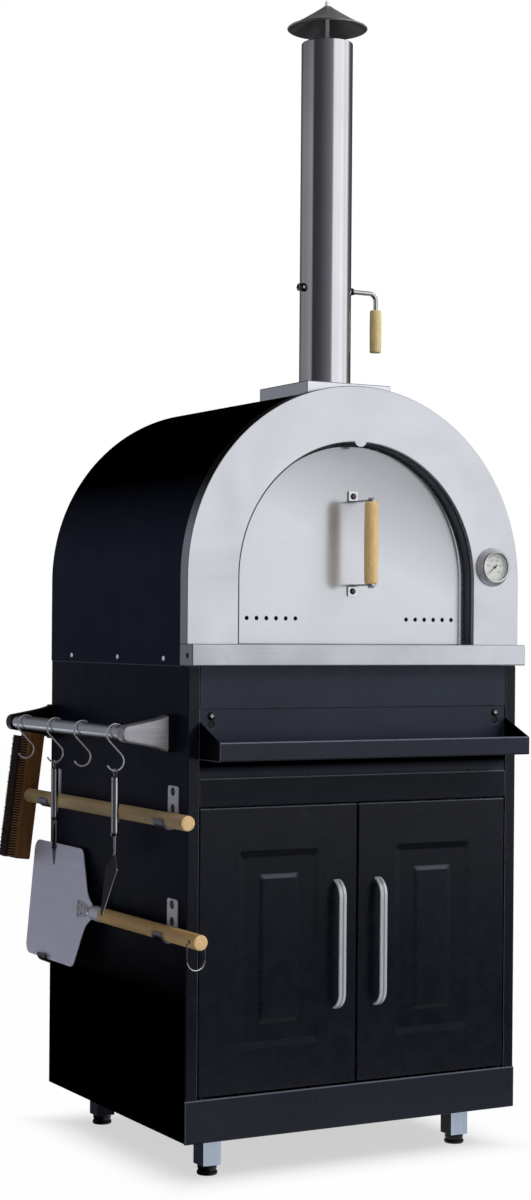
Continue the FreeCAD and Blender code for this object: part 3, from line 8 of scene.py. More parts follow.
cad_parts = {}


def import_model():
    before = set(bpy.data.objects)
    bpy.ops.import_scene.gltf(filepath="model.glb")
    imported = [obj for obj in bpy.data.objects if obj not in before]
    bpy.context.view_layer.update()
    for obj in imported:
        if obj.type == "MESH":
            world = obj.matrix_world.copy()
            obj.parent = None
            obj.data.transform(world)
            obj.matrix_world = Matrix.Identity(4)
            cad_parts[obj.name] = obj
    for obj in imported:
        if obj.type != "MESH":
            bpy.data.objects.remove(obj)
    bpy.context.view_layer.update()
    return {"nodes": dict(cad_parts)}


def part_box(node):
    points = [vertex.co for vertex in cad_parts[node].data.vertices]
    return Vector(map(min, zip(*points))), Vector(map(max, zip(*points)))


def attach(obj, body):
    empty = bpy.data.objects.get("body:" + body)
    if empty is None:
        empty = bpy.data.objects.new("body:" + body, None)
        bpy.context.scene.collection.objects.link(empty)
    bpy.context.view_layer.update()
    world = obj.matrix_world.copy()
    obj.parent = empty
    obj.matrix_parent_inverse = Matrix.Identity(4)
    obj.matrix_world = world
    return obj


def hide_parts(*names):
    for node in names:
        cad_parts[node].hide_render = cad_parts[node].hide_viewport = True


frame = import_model()
bpy.context.scene.view_settings.view_transform = "Standard"
NODES = frame["nodes"]

# Sizes below are drawing millimetres: X = 0 on the cabinet's middle, Y = 0 on its front sheet
# and Z = 0 on the floor.
SIDE_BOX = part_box("cabinet_left_side"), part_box("cabinet_right_side")
ORIGIN = Vector(((SIDE_BOX[0][0].x + SIDE_BOX[1][1].x) / 2, SIDE_BOX[0][0].y, 0))
MM = 0.001
RIGHT, LEFT, FRONT, REAR, UP = (1, 0, 0), (-1, 0, 0), (0, -1, 0), (0, 1, 0), (0, 0, 1)

HALF = 325.0
SHEET = 1.5
BEND = 2.2
WIDE_BEND = 2.4
BACK = 560.0
OPEN_X = 304.0
PANEL_X = 302.4
PLINTH_Z = (71.5, 139.5)
HEADER_Z = (619, 666)
TRAY_Z = (666.4, 698.0, 788.6)
KEYHOLE = (281.5, 768.5)
CASE_TOP = 851.0
LEG_X = 247.6
LEG_Y = (70, 490)
LEG_HALF = 17.5
LEG_Z = (16.5, 138)
DOOR_Z = (144.5, 617.0)
DOOR_X = (1.5, 302.0)
DOOR_DEPTH = 18.0
HANDLE_X = 40.5
HANDLE_HALF = 109.5
HINGE = (296.0, 7.5)
RAIL_TOP = 887.0
CASE_SCREW_Y = (88.8, 268.9, 464.6)
CASE_SCREW_Z = 862
MOUTH_FOOT = 887.2
MOUTH_STEPS = 96
ARCH_STEPS = 120
ARCH_Z = 997.5
DOOR_ARCH_Z = 1005.0
GRIP = (0, -36, 1058.5)
GRIP_HALF = 69.5
GAUGE = (273, 0, 1023.5)
DIAL_START = 220
DIAL_SWEEP = 260
FLUE_Y = 123.0
FLUE = (0, FLUE_Y, 0)
DAMPER = (0, FLUE_Y, 1506.5)
BAR = (-405.6, 739.0)
BAR_Y = (58.0, 537.0)
POLE_X = -340.55
POLE_R = 12.75
BRUSH_Z = 597.5
BRUSH_LEAN = 7
TUFT_PITCH = (5.84, 7.33)
PEEL_Z = 411.5
PEEL_LEAN = 5.2
PEEL_EDGE = 105.5
STRAP_HOLES = (18.0, 45.5)
STRAP_Y = (48.5, 528.5)
S_HOOK_Y = (487.0, 355.5, 238.5, 105.0)
LOOP_Y = -65.0
TOOL_TOP = 666.4
CUTTER_GRIP = 92
SERVER_GRIP = 99


# Mesh tools
def linked(name, data):
    made = bpy.data.objects.new(name, data)
    bpy.context.scene.collection.objects.link(made)
    return made


def outward(mesh):
    work = bmesh.new()
    work.from_mesh(mesh)
    bmesh.ops.recalc_face_normals(work, faces=work.faces)
    work.to_mesh(mesh)
    work.free()


def piece(name, body, slot, parts, *replaced, angle=35):
    """One piece from parts: each a shape in drawing millimetres, its material and sometimes a turn."""
    verts, faces, slots, materials = [], [], [], []
    for (points, corners), material, *turn in parts:
        if material not in materials:
            materials.append(material)
        faces += [[len(verts) + i for i in face] for face in corners]
        slots += [materials.index(material)] * len(corners)
        verts += [ORIGIN + (turn[0] @ Vector(p) if turn else Vector(p)) * MM for p in points]
    mesh = bpy.data.meshes.new(name)
    mesh.from_pydata(verts, [], faces)
    for material in materials:
        mesh.materials.append(material)
    mesh.polygons.foreach_set("material_index", slots)
    mesh.validate()
    outward(mesh)
    made = linked(name, mesh)
    smooth(made, angle)
    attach(made, body)
    if replaced:
        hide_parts(*replaced)


def smooth(made, angle):
    """Smooth shading in which large flat faces keep their own direction."""
    made.data.shade_smooth()
    made.data.set_sharp_from_angle(angle=math.radians(angle))
    even = made.modifiers.new("even", "WEIGHTED_NORMAL")
    even.keep_sharp = True
    mesh = bpy.data.meshes.new_from_object(made.evaluated_get(bpy.context.evaluated_depsgraph_get()))
    made.modifiers.clear()
    made.data = mesh


def parted(shape, test):
    """A shape's faces whose points all pass a test, and the rest of its faces."""
    verts, faces = shape
    chosen = [f for f in faces if all(test(verts[i]) for i in f)]
    return (verts, chosen), (verts, [f for f in faces if f not in chosen])


def bow(a, b, radius, start, stop, steps):
    """Flat points on an arc about (a, b), angles in degrees."""
    turns = [math.radians(start + (stop - start) * k / steps) for k in range(steps + 1)]
    return [(a + radius * math.cos(t), b + radius * math.sin(t)) for t in turns]


def ring(a, b, radius, steps=24):
    return bow(a, b, radius, 0, 360, steps)[:-1]


def upright(y, points):
    """Flat points stood up at one depth."""
    return [Vector((a, y, b)) for a, b in points]


def loft(rings, closed=True, capped=True, looped=False):
    """Quads between rings of equally many points; open strips if not closed."""
    count, total = len(rings[0]), len(rings)
    faces = []
    for i in range(total if looped else total - 1):
        a, b = i * count, (i + 1) % total * count
        for j in range(count if closed else count - 1):
            k = (j + 1) % count
            faces.append([a + j, a + k, b + k, b + j])
    if capped and not looped:
        faces.append(list(range(count)))
        faces.append([(total - 1) * count + i for i in reversed(range(count))])
    return [p for points in rings for p in points], faces


def axis_frame(axis):
    """Two directions square to an axis."""
    axis = Vector(axis).normalized()
    side = Vector(UP) if abs(axis.z) < 0.9 else Vector(RIGHT)
    u = side.cross(axis).normalized()
    return u, axis.cross(u)


def lathe(profile, centre, axis=UP, segments=48):
    """A turned solid from (radius, height) points along an axis through centre."""
    centre, direction = Vector(centre), Vector(axis).normalized()
    u, v = axis_frame(axis)
    verts, faces, rows = [], [], []
    for radius, height in profile:
        base = centre + direction * height
        points = [base + u * a + v * b for a, b in ring(0, 0, radius, segments)] if radius > 0 else [base]
        rows.append(list(range(len(verts), len(verts) + len(points))))
        verts += points
    for low, high in zip(rows, rows[1:]):
        if len(low) == len(high) == 1:
            continue
        for k in range(segments):
            n = (k + 1) % segments
            corners = low[k % len(low)], low[n % len(low)], high[n % len(high)], high[k % len(high)]
            faces.append(list(dict.fromkeys(corners)))
    faces += [row for row in (rows[0], rows[-1]) if len(row) > 1]
    return verts, faces


def closed_lathe(profile, centre, axis=UP, segments=48):
    """A turned ring whose profile runs back to its start, with no end caps."""
    verts, faces = lathe(profile + profile[:1], centre, axis, segments)
    count = len(verts) - segments
    return verts[:count], [[i % count if i >= count else i for i in f] for f in faces[:-2]]


def rod(radius, low, high):
    """The profile of a plain round rod."""
    return [(0, low), (radius, low), (radius, high), (0, high)]


def tube(points, radius, segments=12, looped=False):
    """A round wire along points; radius may be one value or one per point."""
    points = [Vector(p) for p in points]
    radii = radius if isinstance(radius, list) else [radius] * len(points)
    count = len(points)
    tangents = []
    for i in range(count):
        before = points[i - 1] if looped or i else points[0]
        after = points[(i + 1) % count] if looped or i < count - 1 else points[-1]
        tangents.append((after - before).normalized())
    u, _ = axis_frame(tangents[0])
    rings = []
    for i in range(count):
        if i:
            u = tangents[i - 1].rotation_difference(tangents[i]) @ u
        v = tangents[i].cross(u)
        rings.append([points[i] + u * a + v * b for a, b in ring(0, 0, radii[i], segments)])
    return loft(rings, looped=looped)


def from_bmesh(work):
    work.verts.ensure_lookup_table()
    shape = [v.co.copy() for v in work.verts], [[v.index for v in f.verts] for f in work.faces]
    work.free()
    return shape


def block(x0, x1, y0, y1, z0, z1, radius=1.0):
    """A block with rounded edges."""
    work = bmesh.new()
    bmesh.ops.create_cube(work, size=1)
    size = Vector((x1 - x0, y1 - y0, z1 - z0))
    middle = Vector((x0 + x1, y0 + y1, z0 + z1)) / 2
    for v in work.verts:
        v.co = v.co * size + middle
    bmesh.ops.bevel(work, geom=list(work.edges), offset=radius, segments=3, profile=0.5, affect="EDGES",
                    clamp_overlap=True)
    return from_bmesh(work)


def soft_rect(x0, x1, z0, z1, radius, y, steps=6):
    """A ring of points round a rectangle with round corners, at one depth."""
    right, left, top, low = x1 - radius, x0 + radius, z1 - radius, z0 + radius
    corners = (right, top), (left, top), (left, low), (right, low)
    return upright(y, [point for turn, (x, z) in enumerate(corners)
                       for point in bow(x, z, radius, 90 * turn, 90 * turn + 90, steps)])


def about(centre, axis, degrees):
    """A rotation about a line through centre."""
    there = Matrix.Translation(Vector(centre))
    return there @ Matrix.Rotation(math.radians(degrees), 4, axis) @ there.inverted()


def folded(path, thick=SHEET, bend=BEND):
    """A closed ring of (a, b) points: a sheet that follows a path to its left, with round bends."""
    path = [Vector(p) for p in path]
    offset = []
    for i, p in enumerate(path):
        before = (p - path[i - 1]).normalized() if i else None
        after = (path[i + 1] - p).normalized() if i < len(path) - 1 else None
        left = [Vector((-way.y, way.x)) for way in (before or after, after or before)]
        middle = (left[0] + left[1]).normalized()
        offset.append(p + middle * thick / middle.dot(left[0]))
    return round_path(path, offset, bend) + round_path(offset, path, bend)[::-1]


def round_path(path, other, bend, steps=4):
    """A path with its corners rounded; the side inside a bend gets the smaller radius."""
    result = [path[0]]
    for i in range(1, len(path) - 1):
        before, after = (path[i - 1] - path[i]).normalized(), (path[i + 1] - path[i]).normalized()
        inside = (other[i] - path[i]).dot(before + after) < 0
        gap = (other[i] - path[i]).length / math.sqrt(2)
        radius = max(bend - gap, 0.4) if inside else bend
        half = before.angle(after) / 2
        reach = radius / math.tan(half)
        centre = path[i] + (before + after).normalized() * radius / math.sin(half)
        start, end = path[i] + before * reach - centre, path[i] + after * reach - centre
        result += [centre + start.lerp(end, k / steps).normalized() * radius for k in range(steps + 1)]
    return result + [path[-1]]


def rounded(corners, steps=8):
    """An outline from (a, b, radius) corners."""
    points = []
    for i, (a, b, radius) in enumerate(corners):
        here = Vector((a, b))
        before = (Vector(corners[i - 1][:2]) - here).normalized()
        after = (Vector(corners[(i + 1) % len(corners)][:2]) - here).normalized()
        if not radius:
            points.append((a, b))
            continue
        half = before.angle(after) / 2
        centre = here + (before + after).normalized() * radius / math.sin(half)
        start, end = (here + way * radius / math.tan(half) - centre for way in (before, after))
        points += [tuple(centre + start.slerp(end, k / steps) * radius) for k in range(steps + 1)]
    return points


def pushed_x(section, x0, x1):
    """A (y, z) ring pushed along X."""
    return loft([[(x, y, z) for y, z in section] for x in (x0, x1)])


def arch_sweep(section, floor_z, steps=MOUTH_STEPS):
    """A closed (radius, y) section swept up the left side, over the arch and down the right side."""
    rings = [[(r * c, y, ARCH_Z + r * s) for r, y in section] for c, s in bow(0, 0, 1, 180, 0, steps)]
    left, right = ([(side * r, y, floor_z) for r, y in section] for side in (-1, 1))
    return loft([left] + rings + [right])


def from_curve(curve, place, merge=True):
    """The mesh of a curve, with each point where place puts it."""
    holder = linked("outline", curve)
    mesh = bpy.data.meshes.new_from_object(holder)
    work = bmesh.new()
    work.from_mesh(mesh)
    if merge:
        bmesh.ops.remove_doubles(work, verts=work.verts, dist=1e-4)
    for v in work.verts:
        v.co = place(*v.co)
    bpy.data.objects.remove(holder)
    bpy.data.curves.remove(curve)
    bpy.data.meshes.remove(mesh)
    return from_bmesh(work)


def plate(loops, thick, edge, place):
    """A flat plate with rounded edges: the first loop is its outline, the rest are holes."""
    curve = bpy.data.curves.new("outline", "CURVE")
    curve.dimensions = "2D"
    curve.fill_mode = "BOTH"
    curve.extrude = thick / 2 - edge
    curve.bevel_depth = edge
    curve.bevel_resolution = 1
    curve.offset = -edge
    for points in loops:
        spline = curve.splines.new("POLY")
        spline.points.add(len(points) - 1)
        for point, (a, b) in zip(spline.points, points):
            point.co = (a, b, 0, 1)
        spline.use_cyclic_u = True
    return from_curve(curve, place)


def figures(words, size, middle):
    """Plain raised figures that face the front."""
    curve = bpy.data.curves.new("figures", "FONT")
    curve.body = words
    curve.size = size
    curve.align_x = "CENTER"
    curve.align_y = "CENTER"
    curve.extrude = 0.06
    return from_curve(curve, lambda a, b, c: middle + Vector((a, -c, b)), merge=False)


def facing(y):
    """Places a flat plate in an upright plane that faces the front."""
    return lambda a, b, c: Vector((a, y + c, b))


def sideways(x):
    """Places a flat plate drawn in (y, z) in a plane that faces the side."""
    return lambda a, b, c: Vector((x + c, a, b))


def arch_outline(radius, floor_z, centre_z, corner):
    """The outline of a plate with a flat foot and a half-round top."""
    x, z = radius - corner, floor_z + corner
    foot = bow(x, z, corner, -90, 0, 6), bow(-x, z, corner, 180, 270, 6)
    return foot[0] + bow(0, centre_z, radius, 0, 180, 64) + foot[1]


# Materials
def srgb(red, green, blue):
    """A colour as it should look, on the 0 to 255 scale of a picture."""
    values = [c / 255 for c in (red, green, blue)]
    return tuple(v / 12.92 if v < 0.04045 else ((v + 0.055) / 1.055) ** 2.4 for v in values) + (1.0,)


class Nodes:
    """The shader nodes of a material or the world."""

    def __init__(self, tree):
        self.tree = tree

    def node(self, kind, sockets, **settings):
        made = self.tree.nodes.new(kind)
        for key, value in settings.items():
            setattr(made, key, value)
        for key, value in sockets.items():
            if isinstance(value, bpy.types.NodeSocket):
                self.tree.links.new(value, made.inputs[key])
            else:
                made.inputs[key].default_value = value
        return made.outputs

    def span(self, value, low, high, to_low=0.0, to_high=1.0):
        sockets = {"Value": value, "From Min": low, "From Max": high, "To Min": to_low, "To Max": to_high}
        return self.node("ShaderNodeMapRange", sockets)[0]

    def maths(self, operation, first, second=0.0):
        return self.node("ShaderNodeMath", {0: first, 1: second}, operation=operation)[0]

    def times(self, first, second):
        return self.maths("MULTIPLY", first, second)

    def most(self, first, second):
        return self.maths("MAXIMUM", first, second)

    def looks(self):
        """One for the rays that look at a surface, nothing for the rays that light it."""
        ray = self.node("ShaderNodeLightPath", {})
        return self.most(self.most(ray["Is Camera Ray"], ray["Is Glossy Ray"]), ray["Is Transmission Ray"])


class Finish(Nodes):
    """One procedural material on the Principled shader."""

    def __init__(self, name, **fixed):
        self.material = bpy.data.materials.new(name)
        self.material.use_nodes = True
        super().__init__(self.material.node_tree)
        self.shader = self.tree.nodes["Principled BSDF"]
        self.relief = None
        for socket, value in fixed.items():
            self.shader.inputs[socket.replace("_", " ")].default_value = value

    def where(self, kind="Object"):
        return self.node("ShaderNodeTexCoord", {})[kind]

    def part(self, vector, axis):
        return self.node("ShaderNodeSeparateXYZ", {0: vector})[axis]

    def dot(self, first, second):
        return self.node("ShaderNodeVectorMath", {0: first, 1: second}, operation="DOT_PRODUCT")["Value"]

    def stretched(self, scale):
        return self.node("ShaderNodeMapping", {"Vector": self.where(), "Scale": scale})[0]

    def noise(self, scale, stretch=(1, 1, 1), detail=3.0, rough=0.55, warp=0.0):
        sockets = {"Vector": self.stretched(stretch), "Scale": scale, "Detail": detail, "Roughness": rough,
                   "Distortion": warp}
        return self.node("ShaderNodeTexNoise", sockets)[0]

    def cells(self, scale, stretch=(1, 1, 1)):
        sockets = {"Vector": self.stretched(stretch), "Scale": scale}
        return self.node("ShaderNodeTexVoronoi", sockets)["Distance"]

    def blend(self, factor, first, second):
        return self.node("ShaderNodeMix", {0: factor, 6: first, 7: second}, data_type="RGBA")[2]

    def give(self, socket, value):
        self.tree.links.new(value, self.shader.inputs[socket])

    def bump(self, height, distance, strength=1.0):
        sockets = {"Height": height, "Distance": distance, "Strength": strength}
        if self.relief is not None:
            sockets["Normal"] = self.relief
        self.relief = self.node("ShaderNodeBump", sockets)[0]
        self.give("Normal", self.relief)

    def edge_glint(self, radius, share):
        """A share at outer edges, nothing on flat faces: the mask for painted edge highlights."""
        soft = self.node("ShaderNodeBevel", {"Radius": radius}, samples=4)[0]
        plain = self.node("ShaderNodeNewGeometry", {})["Normal"]
        return self.times(self.span(self.dot(soft, plain), 0.985, 0.80), share)

    def output(self, surface):
        """Puts a shader in place of the Principled one."""
        self.tree.links.new(surface, self.tree.nodes["Material Output"].inputs["Surface"])


def paint(name, low, high, edge, roughness, specular, top_sheen=0.0, top_sheen_from=0.3, dark_from=9.0, dark_below=-9.0,
          fade=0.14):
    """Satin powder coat: fine orange peel and cloudy gloss, with a painted highlight on outer edges and
    upward faces and painted shade on faces that look down.

    As painted shade it turns black above dark_from and under dark_below, both heights in metres.
    """
    made = Finish(name, Specular_IOR_Level=specular, IOR=1.5)
    edge = srgb(*edge)
    colour = made.blend(made.span(made.noise(6.0, detail=4.0), 0.3, 0.7), srgb(*low), srgb(*high))
    colour = made.blend(made.span(made.noise(1500.0, detail=2.0), 0.62, 0.74, 0.0, 0.35), colour, edge)
    # painted highlight: outer edges take the edge colour, standing for light caught on the bends
    colour = made.blend(made.edge_glint(0.0016, 0.7), colour, edge)
    facing_up, height = made.part(made.where("Normal"), "Z"), made.part(made.where(), "Z")
    # painted highlight: upward faces above a given height take the edge colour, as if lit from above
    lit_from_above = made.times(made.span(facing_up, 0.12, 0.5), made.span(height, top_sheen_from, top_sheen_from + 0.15))
    colour = made.blend(made.times(lit_from_above, top_sheen), colour, edge)
    # painted shade: faces that look down go nearly black
    colour = made.blend(made.span(facing_up, -0.06, -0.3, 0.0, 0.75), colour, srgb(4, 4, 5))
    # painted shade: black above one height and below another
    dark = made.span(height, dark_from, dark_from + fade)
    dark = made.most(dark, made.span(height, dark_below, dark_below - 0.3))
    made.give("Base Color", made.blend(dark, colour, srgb(1, 1, 2)))
    shy = made.times(made.span(facing_up, 0.03, 0.2), made.span(height, top_sheen_from + 0.15, top_sheen_from))
    made.give("Specular IOR Level", made.span(made.most(made.times(shy, 0.5), dark), 0.0, 1.0, specular, 0.0))
    cloud = made.noise(28.0, detail=5.0)
    made.give("Roughness", made.span(cloud, 0.3, 0.7, roughness - 0.05, roughness + 0.07))
    made.bump(made.noise(700.0, detail=2.0), 0.00006, 0.5)
    made.bump(made.noise(90.0, detail=2.0), 0.0001, 0.25)
    return made.material


def brushed(name, low, high, roughness, stretch, smudge=0.06, depth=0.00002, metallic=1.0, rim=0.0,
            shade=None, gloss=0.5):
    """Brushed metal: fine lines one way, handling marks and small scratches; a rim gives the outer edges a
    painted highlight.

    A shade is painted shade (direction, start, stop, level): along the direction the tone goes to that level.
    """
    made = Finish(name, Metallic=metallic, Specular_IOR_Level=gloss)
    lines = made.noise(1.0, stretch=stretch, detail=5.0, rough=0.7)
    broad = made.noise(7.0, detail=5.0, rough=0.6, warp=0.6)
    colour = made.blend(made.span(lines, 0.3, 0.7), (*low, 1), (*high, 1))
    colour = made.blend(made.span(broad, 0.35, 0.75, 0.0, 0.35), colour, (*low, 1))
    # painted shade: the tone darkens along one direction
    if shade:
        direction, start, stop, level = shade
        tone = made.span(made.dot(made.where(), direction), start, stop)
        colour = made.blend(tone, colour, (*(c * level for c in low), 1))
    # painted highlight: lighter outer edges
    if rim:
        colour = made.blend(made.edge_glint(0.002, rim), colour, (0.85, 0.85, 0.87, 1))
    made.give("Base Color", colour)
    rough = made.span(lines, 0.3, 0.7, roughness - 0.05, roughness + 0.05)
    made.give("Roughness", made.maths("ADD", rough, made.span(broad, 0.3, 0.7, -smudge, smudge)))
    if depth:
        made.bump(lines, depth, 0.6)
    made.bump(made.noise(9.0, detail=2.0), 0.0002, 0.06)
    return made.material


def wood(name, light, dark, fleck, stretch, fine, roughness=0.5):
    """Close-grained wood: long soft bands, fine pores and short flecks along one direction."""
    made = Finish(name, Specular_IOR_Level=0.35)
    light, dark, fleck = srgb(*light), srgb(*dark), srgb(*fleck)
    band = made.noise(1.0, stretch=stretch, detail=4.0, rough=0.6, warp=0.4)
    pore = made.noise(1.0, stretch=fine, detail=3.0, rough=0.6)
    short = made.cells(1.0, stretch=tuple(s * 0.55 for s in fine))
    colour = made.blend(made.span(band, 0.32, 0.68), light, dark)
    colour = made.blend(made.span(short, 0.05, 0.3, 0.55, 0.0), colour, fleck)
    made.give("Base Color", made.blend(made.span(pore, 0.52, 0.72, 0.0, 0.5), colour, fleck))
    made.give("Roughness", made.span(band, 0.3, 0.7, roughness - 0.06, roughness + 0.08))
    made.bump(pore, 0.00012, 0.5)
    made.bump(band, 0.0003, 0.2)
    return made.material


def glass():
    made = Finish("dial_glass", Transmission_Weight=1.0, IOR=1.46, Roughness=0.02)
    made.give("Base Color", made.blend(made.noise(60.0), (0.97, 0.98, 0.98, 1), (1, 1, 1, 1)))
    made.bump(made.noise(120.0, detail=1.0), 0.00002, 0.2)
    return made.material


def stone():
    """Pale fired board: fine pores, cloudy tone and a little soot."""
    made = Finish("hearth_stone", Specular_IOR_Level=0.2, Roughness=0.85)
    pore = made.cells(420.0)
    cloud, soot = made.noise(9.0, detail=6.0), made.noise(3.0, detail=3.0)
    colour = made.blend(made.span(cloud, 0.3, 0.7), srgb(206, 190, 160), srgb(184, 164, 132))
    colour = made.blend(made.span(soot, 0.5, 0.8, 0.0, 0.5), colour, srgb(110, 98, 84))
    made.give("Base Color", made.blend(made.span(pore, 0.0, 0.18, 0.5, 0.0), colour, srgb(120, 104, 82)))
    made.bump(pore, 0.0006, 0.5)
    made.bump(made.noise(160.0, detail=5.0), 0.0005, 0.4)
    return made.material


def wool():
    """Matted ceramic fibre."""
    made = Finish("ceramic_wool", Specular_IOR_Level=0.1, Roughness=0.95, Sheen_Weight=0.3)
    fibre = made.noise(1.0, stretch=(90, 500, 700), detail=6.0, rough=0.7, warp=1.5)
    made.give("Base Color", made.blend(made.span(fibre, 0.3, 0.7), srgb(226, 222, 212), srgb(196, 190, 178)))
    made.bump(fibre, 0.002, 0.7)
    return made.material


def braid():
    """Woven glass rope: two crossing sets of strands."""
    made = Finish("gasket_braid", Specular_IOR_Level=0.2, Roughness=0.8)
    strand = made.cells(1.0, stretch=(420, 420, 420))
    made.give("Base Color", made.blend(made.span(strand, 0.0, 0.5), srgb(60, 58, 54), srgb(112, 108, 100)))
    made.bump(strand, 0.001, 0.8)
    made.bump(made.noise(600.0, detail=3.0), 0.0003, 0.5)
    return made.material


def dial_face():
    """Enamel with a cloudy, slightly yellowed print."""
    made = Finish("dial_white", Specular_IOR_Level=0.3)
    mottle = made.noise(420.0, detail=4.0, rough=0.7)
    tone = made.span(mottle, 0.35, 0.7)
    made.give("Base Color", made.blend(tone, srgb(246, 248, 245), srgb(214, 217, 208)))
    made.give("Roughness", made.span(mottle, 0.3, 0.7, 0.35, 0.5))
    made.bump(mottle, 0.00005, 0.3)
    return made.material


def heat_tint():
    """Steel that firing has turned straw, brown and blue in clouds, with soot."""
    made = Finish("chamber_steel", Metallic=0.9)
    cloud = made.noise(7.0, detail=6.0, rough=0.6, warp=0.8)
    fine = made.noise(120.0, detail=5.0)
    colour = made.blend(made.span(cloud, 0.3, 0.5), (0.24, 0.22, 0.20, 1), (0.17, 0.13, 0.09, 1))
    colour = made.blend(made.span(cloud, 0.52, 0.7), colour, (0.10, 0.10, 0.13, 1))
    made.give("Base Color", made.blend(made.span(fine, 0.5, 0.75, 0.0, 0.5), colour, (0.05, 0.045, 0.04, 1)))
    made.give("Roughness", made.span(fine, 0.3, 0.7, 0.38, 0.6))
    made.bump(fine, 0.00012, 0.5)
    return made.material


# Paints: darker, lighter and edge colour (a painted highlight colour), roughness, specular level, then the
# share of painted highlight on upward faces and the height where it starts.
# Painted highlight colours for edges and upward faces.
GLINT_EDGE = (130, 134, 150)
BLUE_GLINT_EDGE = (30, 36, 54)
# Painted shade: the side sheets go black below 0.6 m, and the vault, a lighter copy of the side paint, goes
# black above 1.03 m.
SIDE_PAINT = paint("side_paint", (14, 18, 34), (19, 23, 41), BLUE_GLINT_EDGE, 0.36, 0.05, 0.2, dark_below=0.6)
VAULT_PAINT = paint("vault_paint", (17, 25, 44), (22, 30, 50), BLUE_GLINT_EDGE, 0.34, 0.03, dark_from=1.03)
FRONT_PAINT = paint("front_paint", (6, 9, 18), (11, 14, 25), GLINT_EDGE, 0.26, 0.2, 0.5)
# Painted shade: the header's copy of the front paint is darker, under the tray.
SHADED_HEADER_PAINT = paint("shaded_header_paint", (11, 15, 26), (16, 20, 32), GLINT_EDGE, 0.3, 0.14, 0.5)
# Lit copies of the front paint, lighter as painted light: the upper panel and the tray.
PANEL_PAINT = paint("panel_paint", (36, 41, 55), (41, 47, 61), GLINT_EDGE, 0.3, 0.2, 0.5, 0.0)
TRAY_PAINT = paint("tray_paint", (28, 32, 43), (33, 37, 49), GLINT_EDGE, 0.3, 0.2, 0.5, 0.0)
SHADED_PAINT = paint("shaded_panel_paint", (34, 38, 50), (38, 43, 56), GLINT_EDGE, 0.3, 0.14, 0.5, 0.0,
                     dark_from=0.673, fade=0.013)
# Lit copy of the front paint for the plinth's face, lighter as painted light.
PLINTH_PAINT = paint("plinth_paint", (23, 27, 36), (28, 32, 42), GLINT_EDGE, 0.3, 0.2, 0.5, 0.0)
# Painted shade: the tray's cheeks in a near-black copy of the tray paint.
SHADED_CHEEK_PAINT = paint("shaded_cheek_paint", (3, 3, 8), (5, 5, 11), (60, 62, 72), 0.34, 0.03)
# Painted highlight: a light copy of the front paint for the hems' light line.
HEM_HIGHLIGHT = paint("hem_highlight_paint", (104, 108, 120), (112, 116, 130), GLINT_EDGE, 0.3, 0.2)
BLACK = paint("black_plastic", (12, 12, 14), (17, 17, 19), (44, 44, 46), 0.45, 0.2)
GLOSS_BLACK = paint("gloss_black", (7, 7, 9), (10, 10, 12), (40, 40, 42), 0.22, 0.5)
RUBBER = paint("foot_rubber", (10, 10, 11), (16, 16, 17), (40, 40, 41), 0.4, 0.35)
PRINT = paint("dial_print", (112, 116, 112), (128, 132, 126), (140, 144, 138), 0.5, 0.3)

# Metals: darker and lighter tone, roughness, stretch of the lines, smudge, line depth, metallic, rim (a
# painted edge highlight).
LEVEL, EVEN, TURNED, LEG_GRAIN = (2.2, 420, 600), (300, 300, 300), (90, 90, 90), (120, 120, 6)
GRIP_GRAIN, STRAP_GRAIN = (300, 300, 3), (200, 40, 40)
STAINLESS = brushed("brushed_stainless", (0.66, 0.68, 0.72), (0.73, 0.75, 0.79), 0.33, LEVEL)
# Painted shade: the rail darkens towards its left end.
RAIL_STEEL = brushed("rail_stainless", (0.66, 0.68, 0.73), (0.74, 0.76, 0.81), 0.36, LEVEL, 0.1,
                     shade=(LEFT, -0.32, 0.1, 0.84))
# Painted shade: the fascia's return is a darker copy of the stainless and goes nearly black above 1.06 m.
SHADED_RETURN_STEEL = brushed("shaded_return_stainless", (0.50, 0.51, 0.58), (0.56, 0.57, 0.64), 0.33, LEVEL,
                       shade=(UP, 1.06, 1.16, 0.02))
# Painted shade: the oven door darkens towards its upper right rim.
DOOR_STEEL = brushed("door_stainless", (0.64, 0.66, 0.70), (0.70, 0.72, 0.76), 0.2, LEVEL, 0.04,
                     metallic=0.75, shade=((0.38, 0.0, 0.92), 0.98, 1.13, 0.62))
# A lighter, lit copy of the stainless for the flue collar, as painted light, with painted edge highlights.
COLLAR_STEEL = brushed("collar_stainless", (0.76, 0.77, 0.84), (0.86, 0.87, 0.94), 0.24, (60, 60, 3), 0.05,
                       4e-6, rim=0.8)
POLISHED = brushed("polished_steel", (0.64, 0.64, 0.68), (0.86, 0.86, 0.90), 0.13, (70, 70, 0.4), 0.02, 0)
BRIGHT = brushed("bright_steel", (0.62, 0.62, 0.64), (0.74, 0.74, 0.76), 0.16, TURNED, 0.04, 0)
LEG_SHADE = brushed("shaded_leg_steel", (0.003, 0.003, 0.007), (0.006, 0.006, 0.010), 0.3, LEG_GRAIN, 0.04, 0,
                    0.0, gloss=0.1)
